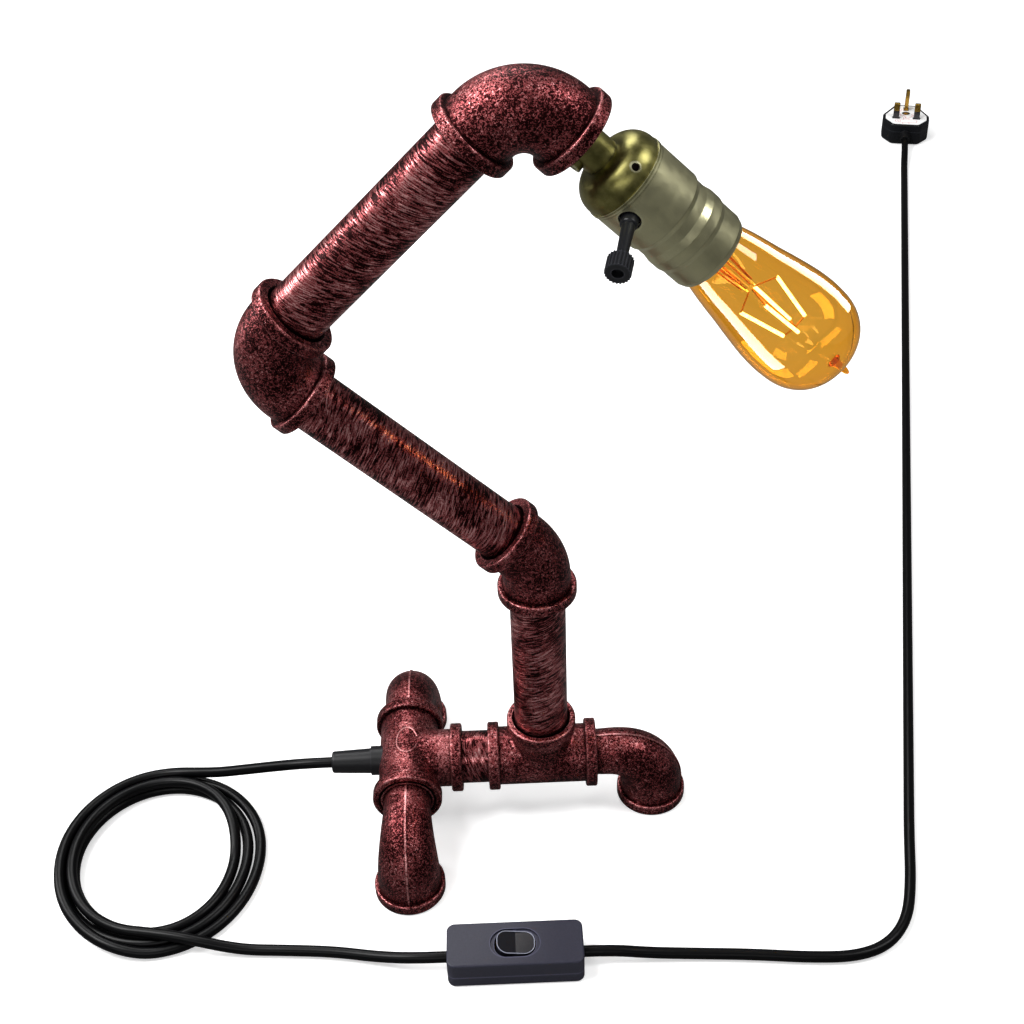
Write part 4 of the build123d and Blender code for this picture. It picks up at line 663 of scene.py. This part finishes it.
# ---- operators -----------------------------------------------------------------------------------
class PIPELAMP_OT_stage(bpy.types.Operator):
    """Camera, soft lamps, pale floor and white surroundings"""

    bl_idname = "pipe_lamp.stage"
    bl_label = "Studio"

    def execute(self, context):
        scene = context.scene
        self.add_camera(scene)
        for name, where, aim, width, depth, power in SOFTBOXES:
            turn = (Vector(where) - Vector(aim)).to_track_quat("Z", "Y")
            self.softbox(name, where, turn, width, depth, power)
        self.add_strips()
        self.add_floor(scene)
        self.add_surroundings(scene)
        scene.view_settings.view_transform = "Standard"
        return {"FINISHED"}

    def add_camera(self, scene):
        """Camera in front of the lamp, looking down on it."""
        lens = bpy.data.cameras.new("camera")
        lens.sensor_width = SENSOR
        lens.lens = FOCAL_LENGTH
        lens.clip_end = FAR_SIGHT
        camera = bpy.data.objects.new("camera", lens)
        turn = Matrix((CAMERA_RIGHT, -CAMERA_DOWN, -CAMERA_AHEAD)).transposed().to_4x4()
        camera.matrix_world = Matrix.Translation(CAMERA_SPOT) @ turn
        scene.collection.objects.link(camera)
        scene.camera = camera

    def add_strips(self):
        """Strip lamps along the bulb, which only its glass mirrors."""
        bulb = HEAD @ (Vector((0, 0, BULB_MIDDLE)) * MM)
        for name, way, distance, width, depth, power in STRIPS:
            back = Vector(way).normalized()
            along = HEAD_WAY - back * HEAD_WAY.dot(back)
            along.normalize()
            turn = Matrix((along.cross(back), along, back)).transposed().to_quaternion()
            strip = self.softbox(name, bulb + back * distance, turn, width, depth, power)
            strip.visible_camera = False
            strip.visible_diffuse = False
            strip.light_linking.receiver_collection = self.glassware()

    def add_floor(self, scene):
        """Square sheet of paper that the lamp stands on."""
        mesh = bpy.data.meshes.new("studio_floor")
        reach = FLOOR_REACH
        mesh.from_pydata(
            [(-reach, -reach, 0), (reach, -reach, 0), (reach, reach, 0), (-reach, reach, 0)],
            [], [(0, 1, 2, 3)],
        )
        mesh.materials.append(self.paper())
        floor = bpy.data.objects.new("studio_floor", mesh)
        floor.location.z = -FLOOR_DROP
        scene.collection.objects.link(floor)

    def softbox(self, name, where, turn, width, depth, power):
        """Rectangular lamp that shines along its own -Z."""
        lamp = bpy.data.lights.new(name, "AREA")
        lamp.shape = "RECTANGLE"
        lamp.size = width
        lamp.size_y = depth
        lamp.energy = power
        holder = bpy.data.objects.new(name, lamp)
        holder.location = where
        holder.rotation_mode = "QUATERNION"
        holder.rotation_quaternion = turn
        bpy.context.scene.collection.objects.link(holder)
        return holder

    def glassware(self):
        """Collection of the pieces that mirror the two strip lamps."""
        return bpy.data.collections.get("glassware") or bpy.data.collections.new("glassware")

    def paper(self):
        """Matt seamless paper: takes a soft shadow, reads as white, and stays dim in mirrorings."""
        material, tree = new_material("seamless_paper")
        ray = node(tree, "ShaderNodeLightPath")
        lift = weighed(tree, self.looked_at(tree, ray), weight=PAPER_GLOW, base=0.0)
        # without other coordinates the noise runs from 0 to 1 across the whole floor
        clouds = node(tree, "ShaderNodeTexNoise", {
            "Scale": 2 * FLOOR_REACH / PAPER_CLOUD, "Detail": 2.0,
        })
        tone = node(tree, "ShaderNodeMapRange", {
            "Value": clouds.outputs[0], "To Min": PAPER_TONES[0], "To Max": PAPER_TONES[1],
        })
        shade = blended(tree, tone.outputs[0], linear("#d8d8d8"), colours().studio)
        dim = weighed(tree, ray.outputs["Is Glossy Ray"], weight=PAPER_DIM, base=0.0)
        matt = node(tree, "ShaderNodeBsdfDiffuse", {"Color": blended(tree, dim, shade, BLACK)})
        glow = node(tree, "ShaderNodeEmission", {"Strength": lift})
        return finish(material, node(tree, "ShaderNodeAddShader", {
            0: matt.outputs[0], 1: glow.outputs[0],
        }))

    def looked_at(self, tree, ray):
        """Output of 1 for a ray that meets the eye, straight or through glass, and else 0."""
        return node(tree, "ShaderNodeMath", {
            0: ray.outputs["Is Camera Ray"], 1: ray.outputs["Is Transmission Ray"],
        }, operation="MAXIMUM").outputs[0]

    def add_surroundings(self, scene):
        """White where it is looked at, softer where it only lights the lamp."""
        world = bpy.data.worlds.new("studio")
        scene.world = world
        world.use_nodes = True
        tree = world.node_tree
        tree.nodes.clear()
        ray = node(tree, "ShaderNodeLightPath")
        strength = node(tree, "ShaderNodeMix", {
            0: self.looked_at(tree, ray), 2: SKY_LIGHT, 3: 1.0,
        }, data_type="FLOAT")
        sky = node(tree, "ShaderNodeBackground", {
            "Color": (1, 1, 1, 1), "Strength": strength.outputs[0],
        })
        node(tree, "ShaderNodeOutputWorld", {"Surface": sky.outputs[0]})


class PIPELAMP_OT_flex(bpy.types.Operator):
    """Mains flex: gland to coil to switch, and switch to plug"""

    bl_idname = "pipe_lamp.flex"
    bl_label = "Flex"

    def coil(self):
        """Points of three and a half turns, eased from quarter to quarter."""
        points = []
        quarters = list(zip(COIL_QUARTERS, COIL_QUARTERS[1:]))
        for number, (one, two) in enumerate(quarters):
            for step in range(COIL_STEPS):
                t = step / COIL_STEPS
                radius = one[0] + (two[0] - one[0]) * (1 - math.cos(math.pi * t)) / 2
                late = t ** 3 if two[1] < one[1] else 1 - (1 - t) ** 3
                height = one[1] + (two[1] - one[1]) * late
                points.append(self.coil_point(radius, height, number + t))
        points.append(self.coil_point(*COIL_QUARTERS[-1], len(quarters)))
        return points

    def coil_point(self, radius, height, quarter):
        """Control point a little outside the turn, because the line cuts inside its points."""
        angle = math.pi / 2 * (1 + quarter)
        wide = radius / math.cos(math.pi / 4 / COIL_STEPS)
        return (
            COIL_MIDDLE[0] + wide * math.cos(angle), COIL_MIDDLE[1] + wide * math.sin(angle),
            height,
        )

    def run(self, name, points, sheath, swaps):
        """Smooth round flex along a route, in the place of the CAD solids named in swaps."""
        curve = bpy.data.curves.new(name, "CURVE")
        curve.dimensions = "3D"
        curve.resolution_u = FLEX_SMOOTH
        curve.bevel_depth = sizes().flex_diameter / 2
        curve.bevel_resolution = FLEX_SMOOTH
        curve.use_fill_caps = True
        spline = curve.splines.new("NURBS")
        spline.points.add(len(points) - 1)
        for point, spot in zip(spline.points, points):
            point.co = (*(Vector(spot) * MM), 1)
        spline.order_u = 3
        spline.use_endpoint_u = True
        curve.materials.append(sheath)
        flex = bpy.data.objects.new(name, curve)
        bpy.context.scene.collection.objects.link(flex)
        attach(flex, "base")
        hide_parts(*swaps)
        return flex

    def execute(self, context):
        # extruded PVC: deep black with a soft sheen and hardly any texture
        sheath = moulded("pvc_flex_extruded", colours().flex, rough=0.34, grain=2.5, depth=0.05,
                         shine=0.16)
        give(sheath, "lead_base", "lead_post", "lead_lower", "lead_upper", "lead_cores")
        near = self.run(
            "flex_lamp_to_switch", LEAD_ROUTE + self.coil() + SWITCH_ROUTE, sheath,
            ("cord_lead", "cord_coil", "cord_to_switch"),
        )
        far = self.run("flex_switch_to_plug", PLUG_ROUTE, sheath, ("cord_to_plug",))
        return {"FINISHED"}


class PIPELAMP_OT_castings(bpy.types.Operator):
    """Tees, elbows and legs in rubbed paint on a pebbly cast skin"""

    bl_idname = "pipe_lamp.castings"
    bl_label = "Castings"

    def execute(self, context):
        paint = cast_paint()
        give(
            paint, "tee_side", "tee_post", "leg_elbow_front", "leg_elbow_rear", "leg_elbow_side",
            "elbow_45", "knee_elbow", "top_elbow", "reducer_bush",
        )
        ring = []
        for step in range(MEDALLION_STEPS):
            angle = 2 * math.pi * step / MEDALLION_STEPS
            across, along = MEDALLION[0] * math.cos(angle), MEDALLION[1] * math.sin(angle)
            rise = math.sqrt(TEE_RADIUS ** 2 - across ** 2)
            ring.append(Vector((TEE_MIDDLE[0] + across, along, TEE_MIDDLE[1] + rise)) * MM)
        rim = tube("medallion_rim", [ring], MEDALLION_WIRE * MM, cyclic=True)
        place("medallion_rim", rim, paint, "base")
        return {"FINISHED"}


class PIPELAMP_OT_pipes(bpy.types.Operator):
    """Post, arms and nipple in paint dry-brushed across the pipe"""

    bl_idname = "pipe_lamp.pipes"
    bl_label = "Pipes"

    def execute(self, context):
        for name, way in (
            ("post_pipe", (0, 0, 1)), ("close_nipple", (1, 0, 0)),
            ("lower_arm_pipe", LOWER_WAY), ("upper_arm_pipe", UPPER_WAY),
        ):
            give(pipe_paint(name, way), name)
        return {"FINISHED"}


class PIPELAMP_OT_lampholder(bpy.types.Operator):
    """Brass lampholder, its tube and its inner parts"""

    bl_idname = "pipe_lamp.lampholder"
    bl_label = "Lampholder"

    def execute(self, context):
        brass = antique_brass()
        give(brass, "socket_cap", "socket_shell", "cap_grub_screw", "head_tube", "tube_locknut")
        # stamped brass: bright yellow, lightly scuffed
        contact = plain_metal("contact_brass_stamped", linear("#c8a558"), rough=0.3)
        give(contact, "socket_terminals", "socket_screw_shell", "socket_centre_contact")
        # pressed urea: dark brown and half matt
        block = moulded("urea_switch_block_pressed", linear("#2a2320"), rough=0.5, grain=0.8,
                        depth=0.05)
        give(block, "socket_body")
        # vulcanised fibre: grey and dull, like hard card
        liner = moulded("vulcanised_fibre_liner_rolled", linear("#3a3a38"), rough=0.7, grain=0.5,
                        depth=0.05)
        give(liner, "socket_liner")
        # zinc plate: cool light grey with a soft shine
        give(plain_metal("zinc_plated_steel_turned", linear("#9a9c9e"), rough=0.35), "gland_nut")
        return {"FINISHED"}


class PIPELAMP_OT_key(bpy.types.Operator):
    """Black turn key of the lampholder"""

    bl_idname = "pipe_lamp.key"
    bl_label = "Key"

    def execute(self, context):
        # pressed phenolic: hard, glossy near-black
        key = moulded("phenolic_key_pressed", linear("#17181b"), rough=0.32, grain=0.7, depth=0.04)
        give(key, "key_stem", "key_knob")
        return {"FINISHED"}


class PIPELAMP_OT_bulb(bpy.types.Operator):
    """Amber bulb: glass, lit filaments, wires, stem and cap"""

    bl_idname = "pipe_lamp.bulb"
    bl_label = "Bulb"

    # outside of the envelope and its seal pip: radius and distance along the head, in millimetres
    OUTSIDE = [
        (12.3, 109.2), (12.3, 113.0), (12.4, 116.0), (14.0, 119.5), (16.4, 125.0), (18.6, 131.0),
        (21.4, 142.0), (23.3, 151.5), (24.9, 160.5), (27.2, 172.0), (29.3, 184.0), (30.3, 193.5),
        (30.4, 200.5), (29.8, 208.5), (27.8, 215.5), (24.1, 221.5), (18.5, 226.1), (11.0, 228.9),
        (4.4, 229.9),
    ]
    PIP = [(3.0, 230.5), (2.5, 233.0), (2.1, 236.5), (1.5, 240.2), (0.8, 241.6), (0.0, 242.0)]
    # wires from the stem to the filaments: line of one, how many, share of a step before the first
    WIRE_LINE = [(6.6, 118.0), (6.2, 130.0), (3.9, 159.0)]
    WIRES = 7
    WIRE_START = 0.3
    WIRE_DIAMETER = 0.8

    def envelope(self, wall):
        """Section of the glass: up its inside, down its outside and out along the pip."""
        outer = eased(self.OUTSIDE)
        inner = []
        for number, (radius, distance) in enumerate(outer):
            before = outer[max(number - 1, 0)]
            after = outer[min(number + 1, len(outer) - 1)]
            slope = Vector((after[0] - before[0], after[1] - before[1])).normalized()
            inner.append((max(radius - slope.y * wall, 0.0), distance + slope.x * wall))
        inner.append((0.0, outer[-1][1] - wall))
        return inner[::-1] + outer + self.PIP

    def execute(self, context):
        section = self.envelope(sizes().glass_wall / MM)
        glass = place("amber_envelope", lathe("amber_envelope", section), amber_glass(), "bulb")
        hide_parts("bulb_glass")
        bpy.data.collections["glassware"].objects.link(glass)
        give(lit_filament(), "bulb_filaments")
        # drawn copper-coated wire: orange and bright
        give(plain_metal("support_wire_drawn", linear("#c9854f"), rough=0.25), "bulb_supports")
        give(clear_glass(), "bulb_stem")
        # pressed nickel-plated cap: warm grey and bright
        cap = plain_metal("nickel_cap_pressed", linear("#b9b4a8"), rough=0.25)
        give(cap, "bulb_cap", "bulb_contact")
        # vitrite: black glass with a wet shine
        vitrite = moulded("black_vitrite_glass_cast", linear("#0d0d10"), rough=0.2, grain=1.0,
                          depth=0.02)
        give(vitrite, "bulb_insulator")
        self.lead_wires()
        return {"FINISHED"}

    def lead_wires(self):
        """Copper wires that lean in from the stem to the filaments."""
        lines = []
        for turn in range(self.WIRES):
            angle = 2 * math.pi * (turn + self.WIRE_START) / self.WIRES
            around = Vector((math.cos(angle), math.sin(angle), 0))
            lines.append([
                HEAD @ ((around * radius + Vector((0, 0, distance))) * MM)
                for radius, distance in self.WIRE_LINE
            ])
        # drawn copper: reddish and bright
        copper = plain_metal("copper_wire_drawn", linear("#c4683f"), rough=0.3)
        place("lead_wires", tube("lead_wires", lines, self.WIRE_DIAMETER * MM), copper, "bulb")


class PIPELAMP_OT_gland(bpy.types.Operator):
    """Black cable gland where the flex leaves the tee"""

    bl_idname = "pipe_lamp.gland"
    bl_label = "Gland"

    def execute(self, context):
        # moulded nylon: black with a soft, even sheen
        give(moulded("nylon_gland_moulded", linear("#101013"), rough=0.42, grain=0.6, depth=0.06),
             "gland")
        return {"FINISHED"}


class PIPELAMP_OT_switch(bpy.types.Operator):
    """In-line rocker switch"""

    bl_idname = "pipe_lamp.switch"
    bl_label = "Switch"

    def execute(self, context):
        # ABS: blue-black case with a fine satin grain, glossier black rocker
        case = moulded("abs_switch_moulded", colours().switch, rough=0.42, grain=0.7, depth=0.05)
        give(case, "switch_base", "switch_cover")
        rocker = moulded("abs_rocker_moulded", linear("#131318"), rough=0.3, grain=0.6, depth=0.03)
        give(rocker, "switch_rocker")
        self.rocker_rim()
        # stamped brass and zinc-plated steel: bright yellow, and cool light grey
        contact = plain_metal("switch_brass_stamped", linear("#c9a352"), rough=0.3)
        give(contact, "switch_terminals", "switch_contact")
        screw = plain_metal("switch_screw_zinc_plated", linear("#a5a7aa"), rough=0.35)
        give(screw, "switch_screws")
        return {"FINISHED"}

    def rocker_rim(self):
        """Fine bead round the top of the rocker, coloured pale as a painted highlight."""
        half_length, half_width, corner = (size - ROCKER_INSET for size in ROCKER_HALVES)
        turn = Matrix.Rotation(ROCKER_REST, 3, "Y")
        points = []
        for step in range(ROCKER_STEPS):
            angle = 2 * math.pi * (step + 0.5) / ROCKER_STEPS
            across, along = math.cos(angle), math.sin(angle)
            x = math.copysign(half_length - corner, across) + corner * across
            y = math.copysign(half_width - corner, along) + corner * along
            points.append(Vector((x, y, ROCKER_MIDDLE + abs(x) * math.tan(ROCKER_REST))))
        spots = [ROCKER_PIVOT + turn @ (point * MM) for point in points]
        # painted highlight: a pale grey ABS bead, a thin line of light round the black rocker
        painted_highlight = moulded("abs_rocker_bead_painted_highlight", linear("#565862"), rough=0.25, grain=0.6,
                        depth=0.01)
        bead = tube("rocker_rim", [spots], ROCKER_BEAD * MM, cyclic=True)
        place("rocker_rim", bead, painted_highlight, "rocker")


class PIPELAMP_OT_plug(bpy.types.Operator):
    """Three-pin plug with its card and pins"""

    bl_idname = "pipe_lamp.plug"
    bl_label = "Plug"

    def execute(self, context):
        # pressed urea: glossy black, like a piano key
        case = moulded("plug_urea_pressed", linear("#0e0f12"), rough=0.22, grain=1.2, depth=0.03)
        give(case, "plug_cover", "plug_base")
        # soft PVC: black and half matt
        grommet = moulded("plug_grommet_pvc", linear("#0c0c0e"), rough=0.4, grain=0.8, depth=0.04)
        give(grommet, "plug_grommet")
        # turned and drawn brass: bright yellow, lightly scuffed
        give(plain_metal("plug_screw_brass", linear("#b99a5a"), rough=0.3), "plug_screw")
        earth = plain_metal("pin_brass_drawn", colours().pin_brass, rough=0.25)
        give(earth, "plug_pin_earth")
        give(sleeved_pin(), "plug_pins")
        # coated card: smooth and pale with a faint satin
        card = moulded("card_coated_paper", colours().card, rough=0.55, grain=0.9, depth=0.01)
        give(card, "plug_card")
        # fired ceramic: off-white with a soft gloss
        fuse = moulded("fuse_ceramic_fired", linear("#e6e2d8"), rough=0.4, grain=1.0, depth=0.01)
        give(fuse, "plug_fuse")
        # printing ink: thin red lines that lie flat on the card
        ink = moulded("card_ink_printed", colours().card_print, rough=0.5, grain=0.5, depth=0.005)
        thin = sizes().print_line / MM
        for name, lines, width in (
            ("card_print", CARD_LINES, thin), ("card_print_bold", CARD_BARS, CARD_BOLD * thin),
        ):
            place(name, strips(name, lines, width, self.on_card), ink, "base")
        return {"FINISHED"}

    def on_card(self, point):
        """Place in the frame of a point drawn on the card, in millimetres from the cord end."""
        across = PLUG_WAY.cross(Vector((0, 0, 1)))
        return (CARD_START + across * point.x + PLUG_WAY * point.y) * MM


class PIPELAMP_PT_panel(bpy.types.Panel):
    """Sizes, colours and pieces of the pipe lamp"""

    bl_idname = "PIPELAMP_PT_panel"
    bl_label = "Pipe Lamp"
    bl_space_type = "VIEW_3D"
    bl_region_type = "UI"
    bl_category = "Pipe Lamp"

    def draw(self, context):
        for group in (context.scene.pipe_lamp_sizes, context.scene.pipe_lamp_colours):
            column = self.layout.column()
            for name in group.bl_rna.properties.keys():
                if name not in ("name", "rna_type"):
                    column.prop(group, name)
        for step in STEPS:
            self.layout.operator(step.bl_idname)


STEPS = (
    PIPELAMP_OT_stage,
    PIPELAMP_OT_flex,
    PIPELAMP_OT_castings,
    PIPELAMP_OT_pipes,
    PIPELAMP_OT_gland,
    PIPELAMP_OT_lampholder,
    PIPELAMP_OT_key,
    PIPELAMP_OT_bulb,
    PIPELAMP_OT_switch,
    PIPELAMP_OT_plug,
)
CLASSES = (PipeLampSizes, PipeLampColours, *STEPS, PIPELAMP_PT_panel)


def register():
    """Adds the classes, and the two groups of properties to every scene."""
    for kind in CLASSES:
        bpy.utils.register_class(kind)
    bpy.types.Scene.pipe_lamp_sizes = bpy.props.PointerProperty(type=PipeLampSizes)
    bpy.types.Scene.pipe_lamp_colours = bpy.props.PointerProperty(type=PipeLampColours)


def unregister():
    """Takes them away again."""
    del bpy.types.Scene.pipe_lamp_colours
    del bpy.types.Scene.pipe_lamp_sizes
    for kind in reversed(CLASSES):
        bpy.utils.unregister_class(kind)


def main():
    register()
    for step in STEPS:
        family, action = step.bl_idname.split(".")
        getattr(getattr(bpy.ops, family), action)()


if __name__ == "__main__":
    main()
